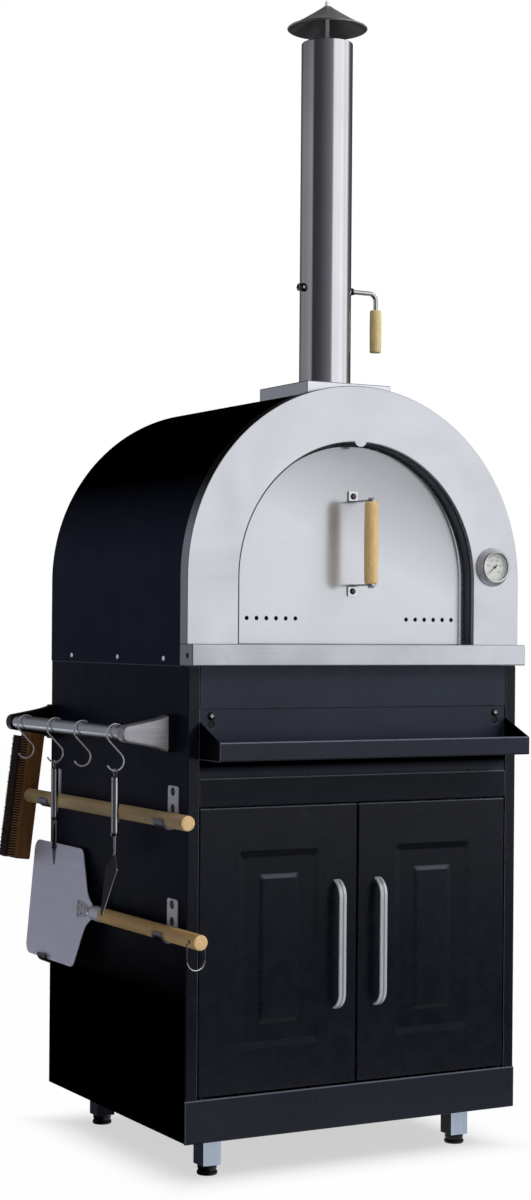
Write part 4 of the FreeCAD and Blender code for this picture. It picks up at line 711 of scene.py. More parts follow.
# Painted shade: a darker copy of the leg steel for the left legs' left faces.
SHADED_LEG_SIDE = brushed("shaded_side_leg_steel", (0.05, 0.062, 0.095), (0.06, 0.072, 0.105), 0.3, LEG_GRAIN, 0.04, 0, 0.0,
                   gloss=0.2)
LEG_STEEL = brushed("leg_steel", (0.50, 0.55, 0.63), (0.60, 0.65, 0.73), 0.26, LEG_GRAIN, 0.05, 4e-6, rim=0.3)
ZINC = brushed("zinc_steel", (0.90, 0.90, 0.92), (0.97, 0.97, 0.99), 0.3, (200, 200, 200), 0.04, 0, 0.05)
HOOK_STEEL = brushed("hook_steel", (0.66, 0.66, 0.70), (0.78, 0.78, 0.82), 0.14, TURNED, 0.03, 0, 0.5)
HANDLE_LINE = brushed("handle_line", (0.22, 0.23, 0.26), (0.28, 0.29, 0.32), 0.34, GRIP_GRAIN, 0.03, 0, 0.35)
HANDLE_STEEL = brushed("handle_steel", (0.52, 0.53, 0.58), (0.60, 0.61, 0.66), 0.34, GRIP_GRAIN, 0.03, 0,
                       0.35, 0.7)
GALVANISED = brushed("galvanised_sheet", (0.42, 0.44, 0.46), (0.56, 0.58, 0.60), 0.42, (26, 26, 26), 0.08)
DARK_STEEL = brushed("dark_steel", (0.045, 0.045, 0.05), (0.08, 0.08, 0.085), 0.36, EVEN)
# Painted shade: the bar's underside goes nearly black.
GUNMETAL = brushed("gunmetal", (0.66, 0.67, 0.74), (0.78, 0.79, 0.86), 0.2, (200, 4, 200), 0.03, 4e-6,
                   shade=((0.0, 0.0, -1.0), -0.7362, -0.7322, 0.06))
BRUSHED_GREY = brushed("brushed_grey", (0.34, 0.34, 0.37), (0.56, 0.56, 0.60), 0.36, (14, 300, 300), 0.05,
                       2e-5, 0.8, 0.9)
# Painted shade: a near-black copy of the bracket grey for the rear bracket.
SHADED_REAR_GREY = brushed("shaded_rear_bracket_grey", (0.03, 0.03, 0.035), (0.06, 0.06, 0.065), 0.36, (14, 300, 300), 0.05)
STRAP = brushed("strap_steel", (0.44, 0.44, 0.52), (0.54, 0.54, 0.62), 0.4, STRAP_GRAIN, 0.06, 1e-5, 0.3)
# Painted shade: a darker copy of the strap steel for the lips under the poles.
SHADED_LIP_STEEL = brushed("shaded_strap_lip_steel", (0.30, 0.30, 0.38), (0.36, 0.36, 0.44), 0.4, STRAP_GRAIN)
DARK_STRAP = brushed("strap_shadow_steel", (0.05, 0.05, 0.06), (0.09, 0.09, 0.10), 0.4, STRAP_GRAIN, 0.06,
                     1e-5)
PEEL = brushed("peel_aluminium", (0.58, 0.58, 0.74), (0.68, 0.68, 0.84), 0.42, (200, 2, 90), 0.08, 4e-6,
               0.5, 0.3)
# Painted reflection: the blade's faces are a near-black non-metal that stands for the dark they reflect.
DARK_REFLECTION_BLADE = brushed("blade_dark_reflection", (0.006, 0.007, 0.012), (0.009, 0.010, 0.017), 0.3, (200, 200, 4), 0.04, 0, 0.0,
                gloss=0.12)
SATIN_DARK = brushed("gauge_case_steel", (0.54, 0.54, 0.60), (0.66, 0.66, 0.72), 0.24, TURNED, 0.05, 0, 0.5)
TUBE_STEEL = brushed("tool_tube_steel", (0.52, 0.52, 0.54), (0.62, 0.62, 0.64), 0.14, (120, 120, 2), 0.03, 0)
BADGE = brushed("badge_steel", (0.50, 0.50, 0.56), (0.62, 0.62, 0.68), 0.34, (90, 9, 90), 0.05, 4e-6)
# Painted shade: the sleeve inside the mouth in dark grey.
SHADED_SLEEVE = brushed("shaded_sleeve_steel", (0.07, 0.08, 0.10), (0.11, 0.12, 0.14), 0.4, EVEN, 0.05, 0, 0.0)
MOUTH = brushed("mouth_steel", (0.50, 0.50, 0.56), (0.62, 0.62, 0.68), 0.26, EVEN, 0.05, 0)
CAP = brushed("cap_paint", (0.13, 0.125, 0.13), (0.17, 0.165, 0.17), 0.36, (60, 60, 60), 0.06, 2e-5, 0.7, 0.7)
STONE, WOOL, BRAID, DIAL, GLASS, CHAMBER = stone(), wool(), braid(), dial_face(), glass(), heat_tint()

# Woods: lighter, darker and fleck colour, then the stretch of the bands and of the pores.
ALONG_Y, UPRIGHT = ((42, 3, 42), (900, 45, 900)), ((70, 70, 7), (900, 900, 60))
# Painted shade: the brush pole's beech is a darker copy of the peel pole's.
BEECH = wood("beech", (168, 145, 110), (134, 113, 82), (96, 76, 52), *ALONG_Y)
LOW_BEECH = wood("low_beech", (196, 162, 112), (158, 126, 82), (110, 84, 54), *ALONG_Y)
# Painted light: the cut pole ends take a paler beech, as lit from the front.
CUT_BEECH = wood("cut_beech", (236, 204, 152), (216, 180, 126), (176, 138, 90), (160, 3, 160),
                 (900, 900, 900))
GRIP_BEECH = wood("grip_beech", (232, 202, 146), (214, 176, 118), (168, 122, 70), *UPRIGHT)
PALE_BEECH = wood("pale_beech", (230, 210, 158), (214, 190, 134), (178, 146, 92), *UPRIGHT)
STAINED = wood("stained_wood", (120, 80, 36), (92, 56, 24), (56, 33, 14), (60, 60, 4), (900, 900, 40))
HAIR = (30, 300, 300), (40, 1500, 1500)
BRISTLE = wood("bristle", (42, 24, 13), (26, 14, 8), (72, 48, 30), *HAIR, 0.6)
BRISTLE_ROOT = wood("bristle_root", (228, 178, 130), (198, 148, 102), (140, 96, 60), *HAIR, 0.6)


# Cabinet
def side_sheet(side, sign):
    """A side sheet with its flanges; its front flange stops above the plinth."""
    fold = [(-HALF + 20, BACK), (-HALF, BACK)]
    full = folded(fold + [(-HALF, 0), (-OPEN_X, 0)], bend=WIDE_BEND)
    low = folded(fold + [(-HALF, 3.2)], bend=WIDE_BEND)
    parts = []
    for section, z0, z1 in ((full, PLINTH_Z[1], CASE_TOP - SHEET), (low, *PLINTH_Z)):
        shape = loft([[(-sign * x, y, z) for x, y in section] for z in (z0, z1)])
        front, rest = parted(shape, lambda p: p[1] < 2.5)
        parts += [(rest, SIDE_PAINT), (front, FRONT_PAINT)]
    piece("side_sheet_" + side, "table", "side_paint", parts, "cabinet_%s_side" % side)


def plinth_rings():
    """Level rings of the base pan: up the inside, under the top sheet, out and down the outside."""
    half, front, back = 323.3, 1.2, 557

    def level(inset, z, corner):
        flat = soft_rect(inset - half, half - inset, front + inset, back - inset, corner, 0)
        return [Vector((p.x, p.z, z)) for p in flat]

    (low, top), middle = PLINTH_Z, 270
    under = top - SHEET
    rings = [level(middle, under, 1), level(4, under, 1), level(SHEET, under - 1, 1),
             level(SHEET, low + 0.2, 1), level(1.2, low, 1), level(0.2, low + 0.2, 1.6)]
    rings += [level(BEND - c, top - BEND + s, BEND) for c, s in bow(0, 0, BEND, 0, 90, 5)]
    return rings + [level(middle, top, 1)]


def cabinet_front():
    low, top = PLINTH_Z
    parts = [(loft(plinth_rings()), FRONT_PAINT),
             (pushed_x(folded([(3, low), (0, low), (0, top), (3, top)]), -HALF, HALF), PLINTH_PAINT)]
    parts += [(block(x, x + SHEET, 0.4, 3, low + 0.4, top - 0.4, 0.5), PLINTH_PAINT)
              for x in (-HALF, HALF - SHEET)]
    piece("plinth", "table", "front_paint", parts, "cabinet_base", angle=40)
    low, top = HEADER_Z
    header = folded([(4, top), (0, top), (0, low), (30, low)])
    parts = [(pushed_x(header, -PANEL_X, PANEL_X), SHADED_HEADER_PAINT),
             (block(-PANEL_X, PANEL_X, -0.05, 1.5, top - 1.2, top + 0.1, 0.4), HEM_HIGHLIGHT)]
    piece("header", "table", "front_paint", parts, "door_header")
    panel = block(-PANEL_X, PANEL_X, 0, 1.5, 780.5, CASE_TOP, 0.7)
    piece("upper_panel", "table", "front_paint", [(panel, PANEL_PAINT)], "upper_front_panel")


def keyhole(x, slot=3.3, key=7.2):
    """The outline of a tray keyhole: a slot above a round hole."""
    z = KEYHOLE[1]
    reach = math.degrees(math.asin(slot / key))
    return bow(x, z, slot, 0, 180, 8) + bow(x, z - 14, key, 90 + reach, 450 - reach, 16)


def tray():
    low, split, top = TRAY_Z
    upper, lower = ([(-PANEL_X, a), (PANEL_X, a), (PANEL_X, b), (-PANEL_X, b)]
                    for a, b in ((split, top), (low, split)))
    floor_sheet = folded([(-66, 728.5), (-72, 728.5), (-72, split - 0.5), (2.3, split - 0.5)],
                         bend=WIDE_BEND)
    cheek = [(-71.6, 697.9), (2.3, 697.9), (2.3, 758.5), (-2, 758.5), (-71.6, 728.3)]
    holes = [keyhole(side * KEYHOLE[0]) for side in (-1, 1)]
    parts = [(plate([upper] + holes, SHEET, 0.6, facing(3.05)), PANEL_PAINT),
             (plate([lower], SHEET, 0.6, facing(3.05)), SHADED_PAINT),
             (block(-PANEL_X, PANEL_X, 2.3, 3.8, 788.3, 789.5, 0.4), HEM_HIGHLIGHT),
             (pushed_x(floor_sheet, -303.5, 303.5), TRAY_PAINT)]
    parts += [(plate([cheek], SHEET, 0.6, sideways(x)), SHADED_CHEEK_PAINT) for x in (-302.75, 302.75)]
    piece("tray", "tray", "front_paint", parts, "front_tray")


def door_rings(x0, x1, z0, z1):
    """Rings from the middle of the inner skin, round the rim, to the middle of the outer skin."""
    cx, cz = (x0 + x1) / 2, (z0 + z1) / 2
    emboss = [(77, 164.5, 7, 0), (75.8, 163.3, 6.6, 0.1), (72.4, 159.9, 5.8, 0.9), (68.6, 156.1, 5.4, 1.9),
              (66, 153.5, 5.2, 2.4), (64.8, 152.3, 5, 2.5), (39.4, 124.9, 5, 2.5), (38.5, 124, 5, 2.4),
              (36.5, 122, 4.6, 1.9), (33.6, 119.1, 4.2, 0.9), (31.2, 116.7, 4, 0.1), (30.4, 115.9, 4, 0)]

    def inset(d, corner, y):
        return soft_rect(x0 + d, x1 - d, z0 + d, z1 - d, corner, y)

    def embossed(rows, y):
        return [soft_rect(cx - a, cx + a, cz - b, cz + b, corner, y + d) for a, b, corner, d in rows]

    rim = [inset(WIDE_BEND - s, 3.2, WIDE_BEND - c) for c, s in bow(0, 0, WIDE_BEND, 0, 90, 5)]
    rim += [inset(0, 3.2, DOOR_DEPTH), inset(SHEET, 2, DOOR_DEPTH), inset(SHEET, 2, SHEET + 0.8),
            inset(SHEET + 0.8, 1.6, SHEET)]
    return embossed(emboss[::-1], 0) + rim + embossed(emboss, SHEET)


def door(side, sign):
    x0, x1 = sorted(sign * x for x in DOOR_X)
    panel = loft(door_rings(x0, x1, *DOOR_Z)), FRONT_PAINT
    piece(side + "_door_panel", side + "_door", "front_paint", [panel], side + "_door", angle=50)


def handle(side, sign):
    """A bow handle with a crowned face and chamfered edges, whose ends turn back to the door."""
    rise, half = 22, 29
    radius = (rise ** 2 + half ** 2) / (2 * rise)
    middle = sum(DOOR_Z) / 2
    end = math.degrees(math.asin(half / radius))
    path = [(radius - rise - c, middle - HANDLE_HALF + half + s, c / radius, s / radius)
            for c, s in bow(0, 0, radius, -end, 0, 10)]
    path += [(y, 2 * middle - z, c, -s) for y, z, c, s in reversed(path)]
    bar_section = [(-7, 3.0), (-7, 1.6), (-6.4, 0.7), (-5.2, 0.25), (-1.0, 0.0), (-0.4, 0.35), (0.4, 0.35),
                   (1.0, 0.0), (5.2, 0.25), (6.4, 0.7), (7, 1.6), (7, 3.0), (6, 4), (-6, 4)]
    inlay = [(-1.7, 0.82), (-1.7, -0.06), (1.7, -0.06), (1.7, 0.82)]

    def swept(section, places):
        return loft([[(sign * HANDLE_X + w, y + c * d, z - s * d) for w, d in section]
                     for y, z, c, s in places])

    parts = [(swept(bar_section, path), HANDLE_STEEL), (swept(inlay, path[1:-1]), HANDLE_LINE)]
    piece(side + "_bow_handle", side + "_door", "satin_chrome", parts, side + "_door_handle", angle=30)


def leg_set():
    parts = []
    for x in (-LEG_X, LEG_X):
        for y in LEG_Y:
            leg = block(x - LEG_HALF, x + LEG_HALF, y - LEG_HALF, y + LEG_HALF, *LEG_Z, 1.6)
            # Painted shade: left faces and the rear legs' front faces take darker copies of the leg steel.
            left, rest = parted(leg, lambda p: p.x < x - LEG_HALF + 0.5)
            under, rest = parted(rest, lambda p: y > LEG_Y[0] and p.y < y - LEG_HALF + 0.5)
            parts += [(left, SHADED_LEG_SIDE if x < 0 else LEG_SHADE), (under, LEG_SHADE), (rest, LEG_STEEL)]
    piece("square_legs", "table", "bright_steel", parts, "legs")


def levelling_foot(name, x, y):
    profile = [(0, 0), (14.6, 0), (16.4, 0.5), (17.3, 1.8), (17.5, 3.4), (17.2, 5.2), (16.6, 6.4),
               (15.4, 7.2), (15.4, 8.6), (15.8, 9.8), (16.2, 11.0), (16.4, 12.0), (16.4, 13.2),
               (16.2, 15.2), (15.2, 16.2), (5, 16.2), (5, 71.2), (0, 71.2)]
    piece(name + "_pad", name, "foot_rubber", [(lathe(profile, (x, y, 0), segments=40), RUBBER)], name)


def hinge_set():
    low = [(0, 138), (3, 138), (3, 139.5), (6, 139.5), (6, 143.8), (5.6, 144.2), (3, 144.2), (3, 151.6),
           (2.2, 152.5), (0, 152.5)]
    high = [(0, 609), (2.2, 609), (3, 609.8), (3, 620.5), (6, 620.5), (6, 623.6), (5.2, 624.5), (0, 624.5)]
    parts = [(lathe(profile, (side * HINGE[0], HINGE[1], 0), segments=24), GLOSS_BLACK)
             for side in (-1, 1) for profile in (low, high)]
    piece("hinge_pivots", "table", "bright_steel", parts, "hinge_pins")


def catch():
    """A magnet catch: a moulded case with two pole plates at its face."""
    screw = [(0, 0), (2.6, 0), (2.2, 0.9), (0, 1.2)]
    parts = [(block(-30, 30, 19.6, 29.3, 605.2, 619, 1.4), BLACK)]
    parts += [(block(-22, 22, 18.4, 20.4, z, z + 1.6, 0.3), BRIGHT) for z in (608, 613.6)]
    parts += [(lathe(screw, (x, 19.6, 612), FRONT, 16), BRIGHT) for x in (-25, 25)]
    piece("magnet_catch", "table", "black_plastic", parts, "door_catch")


def shelf():
    section = folded([(40, 350), (40, 376.5), (557, 376.5), (557, 350)])
    piece("inner_shelf", "table", "galvanised_sheet", [(pushed_x(section, -323.4, 323.4), GALVANISED)],
          "cabinet_shelf")


# Screws
def domed(radius, height, centre, axis, segments=20):
    """A round screw head with a soft crown."""
    crown = (1, 0.25), (0.92, 0.6), (0.66, 0.88), (0.3, 0.99)
    profile = [(0, -0.4), (radius, -0.4)] + [(radius * r, height * h) for r, h in crown] + [(0, height)]
    return lathe(profile, centre, axis, segments)


def cross_slot(centre, axis, reach, width, material):
    """Two crossed bars, raised a hair above a head so that they read as its recess; their flat colour is
    painted: a dark one is painted shade in the recess, a bright one a painted glint.
    """
    u, v = axis_frame(axis)
    low = Vector(centre)
    high = low + Vector(axis).normalized() * 0.12
    corners = (-1, -1), (1, -1), (1, 1), (-1, 1)
    return [(loft([[level + along * a * reach + across * b * width for a, b in corners]
                   for level in (low, high)]), material) for along, across in ((u, v), (v, u))]


def hook_places():
    """Where the strap hooks carry the poles; the blade's edge rests in the last one."""
    tilt = math.radians(PEEL_LEAN)
    edge_x = PEEL_EDGE * math.sin(tilt) + 1
    blade_z = PEEL_Z - PEEL_EDGE * math.cos(tilt) - 0.3 + math.sqrt(POLE_R ** 2 - edge_x ** 2)
    near, far = STRAP_Y
    return (near, BRUSH_Z), (far, BRUSH_Z), (near, PEEL_Z), (far, blade_z)


def screws():
    parts = []
    for side in (-1, 1):
        outside = side, 0, 0
        for y in CASE_SCREW_Y:
            parts.append((domed(4, 2.0, (side * 326.5, y, CASE_SCREW_Z), outside), ZINC))
            parts += cross_slot((side * 328.3, y, CASE_SCREW_Z), outside, 2.0, 0.35, GLOSS_BLACK)
        x, z = side * KEYHOLE[0], KEYHOLE[1]
        parts += [(domed(6.5, 3.4, (x, 2.1, z), FRONT, 28), GLOSS_BLACK),
                  (lathe(rod(3, 0, 7.5), (x, 2.0, z), REAR, 16), BRIGHT)]
        parts += cross_slot((x, -1.25, z), FRONT, 3.2, 0.5, BRIGHT)
    parts.append((domed(4.4, 1.2, (-329.5, -4, 868), LEFT), DARK_STEEL))
    dished = [(0, -2.2), (6.4, -2.2), (6.4, -0.1), (7.4, 0.0), (7.2, 0.3), (5.4, 0.7), (3.6, 0.2), (0, 0.2)]
    for y, z in hook_places():
        for rise in STRAP_HOLES:
            parts.append((lathe(dished, (-HALF - 2.5, y, z + rise), LEFT, 28), GLOSS_BLACK))
            parts += cross_slot((-HALF - 2.7, y, z + rise), LEFT, 3.0, 0.5, DARK_STEEL)
    piece("panel_fixings", "table", "dark_steel", parts, "panel_screws")


def rear_screws():
    """Self-tapping screws along the rear flanges and round the vault's rear cover."""
    spots = [(side * 315, BACK, 90 + 124 * k) for side in (-1, 1) for k in range(7)]
    spots += [(x, BACK - 0.1, z) for x, z in bow(0, ARCH_Z, 312, 0, 180, 6)]
    parts = [(domed(3.6, 1.8, spot, REAR, 16), BRIGHT) for spot in spots]
    piece("rear_fixings", "table", "bright_steel", parts)


# Oven shell
def rail():
    parts = [(block(-329.5, 329.5, -22, 23.9, CASE_TOP, RAIL_TOP, 2.2), RAIL_STEEL),
             (block(-236, 236, 20, 35, 885.5, RAIL_TOP, 0.5), RAIL_STEEL)]
    piece("sill_rail", "table", "brushed_stainless", parts, "front_rail")


def spread(point):
    """How far a point of the arch lies from its middle line."""
    return math.hypot(point[0], max(point[2] - ARCH_Z, 0))


def fascia():
    outer, inner, bend = 328.5, 233.0, 2.0
    section = [(outer - SHEET, 24), (outer, 24)] + bow(outer - bend, bend, bend, 0, -90, 4)
    section += bow(inner + bend, bend, bend, 270, 180, 4)
    section += [(inner, 8), (inner + SHEET, 8), (inner + SHEET, SHEET), (outer - SHEET, SHEET)]
    turned, rest = parted(arch_sweep(section, RAIL_TOP, ARCH_STEPS), lambda p: spread(p) > outer - 0.7)
    tab = bow(0, 1234.5, 12, 180, 360, 18) + [(12, 1236), (-12, 1236)]
    parts = [(turned, SHADED_RETURN_STEEL), (rest, STAINLESS), (plate([tab], SHEET, 0.5, facing(0.8)), STAINLESS)]
    piece("fascia", "table", "brushed_stainless", parts, "front_fascia", angle=30)


def mouth_trim():
    """The stepped return inside the mouth: a sleeve painted dark as shade that turns in to a paler flange
    behind the door.
    """
    inner, outer = 232.5, 232.9
    sleeve, throat = ([(outer, a), (inner, a), (inner, b), (outer, b)] for a, b in ((8.2, 11), (11, 26.4)))
    lip = [(232.2, -0.02), (233.5, -0.02), (233.5, 0.8), (232.2, 0.8)]
    flange = [(outer, 28), (inner, 28), (231.4, 31.2), (228.8, 33.2), (224, 34), (219.6, 34), (219.6, 34.7),
              (outer, 34.7)]
    # Painted shade: a gloss black band where the sleeve meets the fascia's return, then the dark sleeve grey.
    parts = [(arch_sweep(section, MOUTH_FOOT), material)
             for section, material in ((sleeve, GLOSS_BLACK), (throat, SHADED_SLEEVE), (flange, MOUTH))]
    # Painted shadow line: a gloss black lip along the left half of the opening's edge.
    left, _ = parted(arch_sweep(lip, MOUTH_FOOT), lambda p: p[0] < -30)
    piece("mouth_trim", "table", "chamber_steel", parts + [(left, GLOSS_BLACK)])


def casing():
    outer = 326.5
    section = [(outer - SHEET, 24.3), (outer, 24.3), (outer, 557.6), (outer - 0.7, 559.3),
               (outer - 2.4, BACK), (outer - 14, BACK), (outer - 14, BACK - SHEET),
               (outer - SHEET, BACK - SHEET)]
    shape = arch_sweep(section, CASE_TOP, ARCH_STEPS)
    piece("vault", "table", "side_paint", [(shape, VAULT_PAINT)], "oven_casing", angle=30)


def gasket():
    section = [(r, 33.45 + 0.3 * y) for r, y in ring(214, 0, 5, 12)]
    piece("rope_gasket", "table", "gasket_braid", [(arch_sweep(section, MOUTH_FOOT), BRAID)], "door_gasket")


def oven_door():
    outline, rim, hole = (arch_outline(220 - d, 887.3 + d, DOOR_ARCH_Z, corner)
                          for d, corner in ((0, 3), (0.6, 2.6), (2.1, 1.4)))
    vents = [ring(side * (204 - 18.7 * k), 930, 3.5, 20) for side in (-1, 1) for k in range(6)]
    parts = [(plate([outline] + vents, 2, 0.6, facing(27)), DOOR_STEEL),
             (plate([rim, hole], 4, 0.3, facing(29.7)), DOOR_STEEL)]
    piece("oven_door_face", "oven_door", "brushed_stainless", parts, "oven_door_skin")


def door_pan():
    """The inner lining: a shallow drawn pan with a rolled foot."""
    rows = ((202.5, 947.5, 28.1, 3), (204, 946, 28.1, 4), (204, 946, 53.2, 4), (203.2, 946.8, 55.2, 4),
            (201.2, 948.8, 56, 4), (120, 985, 56, 4))
    rings = [upright(y, arch_outline(radius, floor_z, ARCH_Z, corner)) for radius, floor_z, y, corner in rows]
    piece("door_lining", "oven_door", "chamber_steel", [(loft(rings), CHAMBER)], "oven_door_pan", angle=40)


def grip():
    end = 4.5 - GRIP_HALF
    profile = [(3.2, -GRIP_HALF), (8.6, -GRIP_HALF), (9.6, 0.5 - GRIP_HALF), (10.7, 1.6 - GRIP_HALF),
               (11.3, end)]
    profile += [(11.3 + 0.6 * math.sin(math.pi / 2 * k / 10), end - end * k / 10) for k in range(1, 11)]
    profile += [(r, -z) for r, z in reversed(profile[:-1])]
    piece("grip_wood", "oven_door", "beech", [(closed_lathe(profile, GRIP), GRIP_BEECH)], "door_grip")


def grip_mounts():
    """Bent straps with a square foot on the door and a round nose that the grip's bolt passes."""
    nose = bow(0, GRIP[1], 9, 180, 360, 15) + [(9, 12), (-9, 12)]
    nut = [(0, 0), (5.5, 0), (5.5, 3.2), (4.6, 4), (0, 4)]
    parts = []
    for sign in (-1, 1):
        arm = GRIP[2] + sign * GRIP_HALF
        path = [(6, arm), (26, arm), (26, arm + sign * 20)]
        foot_z = arm + sign * 11.5
        parts += [(plate([nose], 2.9, 0.5, lambda a, b, c: Vector((a, b, arm + sign * 1.55 + c))), BRIGHT),
                  (pushed_x(folded(path[::sign], 3, 4.2), -9, 9), BRIGHT),
                  (domed(5.4, 2.8, (0, 23.1, foot_z), FRONT, 24), GLOSS_BLACK)]
        parts += cross_slot((0, 20.45, foot_z), FRONT, 2.4, 0.4, BRIGHT)
        parts.append((lathe(nut, (0, GRIP[1], arm + sign * 3), (0, 0, sign), 6), SATIN_DARK))
    parts.append((lathe(rod(3, -72, 72), GRIP, segments=20), BRIGHT))
    piece("grip_straps", "oven_door", "bright_steel", parts, "grip_brackets")


# Thermometer
def gauge_marks():
    """The graduation from 0 to 500 with its figures."""
    middle = Vector(GAUGE)
    marks = [closed_lathe([(20.6, 4.75), (20.6, 4.9), (21.0, 4.9), (21.0, 4.75)], GAUGE, FRONT, 64)]
    for step in range(51):
        turn = math.radians(DIAL_START - DIAL_SWEEP * step / 50)
        c, s = math.cos(turn), math.sin(turn)
        along, across = Vector((c, 0, s)), Vector((-s, 0, c))
        inner, half = (18.8, 0.2) if step % 10 else (16.6, 0.42)
        corners = (-1, 4.75), (1, 4.75), (1, 4.92), (-1, 4.92)
        rows = [[middle + along * radius + across * w * half + Vector((0, -h, 0)) for w, h in corners]
                for radius in (inner, 20.7)]
        marks.append(loft(rows))
    for step in range(6):
        turn = math.radians(DIAL_START - DIAL_SWEEP * step / 5)
        place = middle + Vector((12.6 * math.cos(turn), -4.85, 12.6 * math.sin(turn)))
        marks.append(figures(str(step * 100), 4.6, place))
    return [(mark, PRINT) for mark in marks]


def thermometer():
    x, _, z = GAUGE
    body = [(0, -108), (2.6, -110), (3, -109), (3, 0), (33.4, 0), (34, 0.6), (34, 2.2), (33.2, 3.4),
            (31.6, 4.4), (27.8, 11.0), (27.6, 11.4), (24, 11.4), (24, 4), (0, 4)]
    bezel = [(27.6, 11.2), (28.0, 12.0), (27.8, 13.2), (26.8, 13.95), (25.6, 14.0), (24.4, 13.5),
             (23.7, 12.4), (23.5, 11.0), (23.5, 4.0), (25, 4.0), (25, 11.0)]
    parts = [(lathe(body, GAUGE, FRONT, 64), SATIN_DARK), (closed_lathe(bezel, GAUGE, FRONT, 64), BRIGHT)]
    piece("gauge_case", "table", "satin_chrome", parts, "thermometer_case", angle=30)
    face = [(0, 4.0), (23.2, 4.0), (23.2, 4.6), (22.6, 4.8), (0, 4.8)]
    parts = [(lathe(face, GAUGE, FRONT, 64), DIAL), (lathe(rod(1, 4.8, 7.0), GAUGE, FRONT, 16), BRIGHT)]
    piece("gauge_dial", "table", "dial_white", parts + gauge_marks(), "thermometer_dial")
    lens = [(0, 10.5), (23.1, 10.5), (23.1, 11.3), (20, 11.7), (12, 11.95), (0, 12.0)]
    piece("gauge_lens", "table", "dial_glass", [(lathe(lens, GAUGE, FRONT, 64), GLASS)], "thermometer_glass")
    hub = [(1.1, 5.9), (2.4, 5.9), (2.4, 7.6), (1.9, 8.1), (0, 8.1), (0, 7.3), (1.1, 7.3)]
    half = [(1.2, z - 6), (1.0, z), (0.25, z + 18)]
    left, right = ([(x + side * w, h) for w, h in half] for side in (-1, 1))
    pointer = left[:1] + right + left[:0:-1]
    parts = [(closed_lathe(hub, GAUGE, FRONT, 24), GLOSS_BLACK),
             (plate([pointer], 0.7, 0.12, facing(-7.65)), GLOSS_BLACK, about(GAUGE, "Y", 90 - DIAL_START))]
    piece("gauge_needle", "needle", "needle_black", parts, "thermometer_needle")


# Chimney
def chimney():
    half = 84
    collar = block(-half, half, FLUE_Y - half, FLUE_Y + half, 1306, 1334.8, 2.4)
    piece("flue_collar", "table", "brushed_stainless", [(collar, COLLAR_STEEL)], "chimney_base")
    pipe = [(43.5, 1300), (45, 1300), (45, 1933.4), (44.7, 1934.6), (44.2, 1935), (43.7, 1934.6),
            (43.5, 1933.4)]
    seam = [(45.0, 1334.6), (46.4, 1334.6), (46.2, 1336.2), (45.0, 1336.8)]
    bush = [(4.2, 43), (7.5, 43), (7.5, 48.4), (6.9, 49), (4.2, 49)]
    parts = [(closed_lathe(pipe, FLUE, segments=128), POLISHED),
             (closed_lathe(seam, FLUE, segments=96), POLISHED)]
    parts += [(closed_lathe(bush, DAMPER, axis, 32), TUBE_STEEL) for axis in (LEFT, RIGHT)]
    piece("flue_pipe", "table", "polished_steel", parts, "chimney_pipe")


def damper():
    _, y, z = DAMPER
    reach, bend = 103.5, 13.0
    path = [(-55, z)] + bow(reach - bend, z - bend, bend, 90, 0, 12) + [(reach, 1457.6)]
    nut = [(0, 49.3), (6.4, 49.3), (7, 50), (7, 54.3), (6.2, 55), (0, 55)]
    parts = [(tube(upright(y, path), 4, 20), BRIGHT), (lathe(nut, DAMPER, LEFT, 6), BRIGHT),
             (lathe(nut, DAMPER, RIGHT, 6), GLOSS_BLACK),
             (lathe(rod(5.4, 55, 58), DAMPER, RIGHT, 24), BRIGHT)]
    piece("damper_spindle", "damper", "bright_steel", parts, "damper_rod")
    flap = [(0, -0.75), (41.6, -0.75), (42, -0.3), (42, 0.3), (41.6, 0.75), (0, 0.75)]
    shape = lathe(flap, DAMPER, REAR, 64)
    piece("damper_flap", "damper", "chamber_steel", [(shape, CHAMBER)], "damper_plate")
    profile = [(4.2, 1477.2), (8.4, 1477.6), (9.6, 1476.8), (10.1, 1475)]
    profile += [(10.1 + 0.4 * math.sin(math.pi * k / 8), 1475 - 70 * k / 8) for k in range(1, 8)]
    profile += [(10.1, 1405), (9.7, 1403.4), (8.6, 1402.6), (0, 1402.6), (0, 1457.6), (4.2, 1457.6)]
    shape = lathe(profile, (reach, y, 0), segments=40)
    piece("damper_knob", "damper", "beech", [(shape, PALE_BEECH)], "damper_grip")


def cap():
    cone = [(0, 2001.4), (30, 1983.2), (56, 1967.4), (65.4, 1961.6), (66.4, 1960.4), (67.4, 1959.9),
            (68.8, 1960.1), (69.7, 1961.2), (69.7, 1962.4), (68.6, 1963.5), (66.6, 1963.9), (60, 1967.0),
            (48, 1973.8), (36, 1981.2), (24, 1988.9), (12, 1996.9), (4, 2002.6), (0, 2004)]
    nut = [(0, 1999), (6, 1999), (6, 2001.8), (4.5, 2002.4), (4.5, 2007), (3.9, 2009.6), (2.4, 2011.4),
           (0, 2012)]
    stem = [(0, 1921), (4, 1921), (3, 1998), (0, 1998)]
    strap = block(-43.3, 43.3, FLUE_Y - 5, FLUE_Y + 5, 1921, 1923, 0.5)
    parts = [(lathe(cone, FLUE, segments=72), CAP),
             (closed_lathe(ring(69.3, 1961.6, 0.9, 12), FLUE, segments=72), BRIGHT),
             (lathe(stem, FLUE, segments=20), ZINC), (lathe(nut, FLUE, segments=24), ZINC)]
    parts += [(strap, BRIGHT, about(FLUE, "Z", turn)) for turn in (0, 90)]
    piece("rain_hood", "table", "cap_paint", parts, "rain_cap")


# Side bar and tools
def bar():
    y0, y1 = BAR_Y
    shape = lathe(rod(12.25, 0, y1 - y0), (BAR[0], y0, BAR[1]), REAR)
    piece("hook_bar", "table", "gunmetal", [(shape, GUNMETAL)], "side_bar")


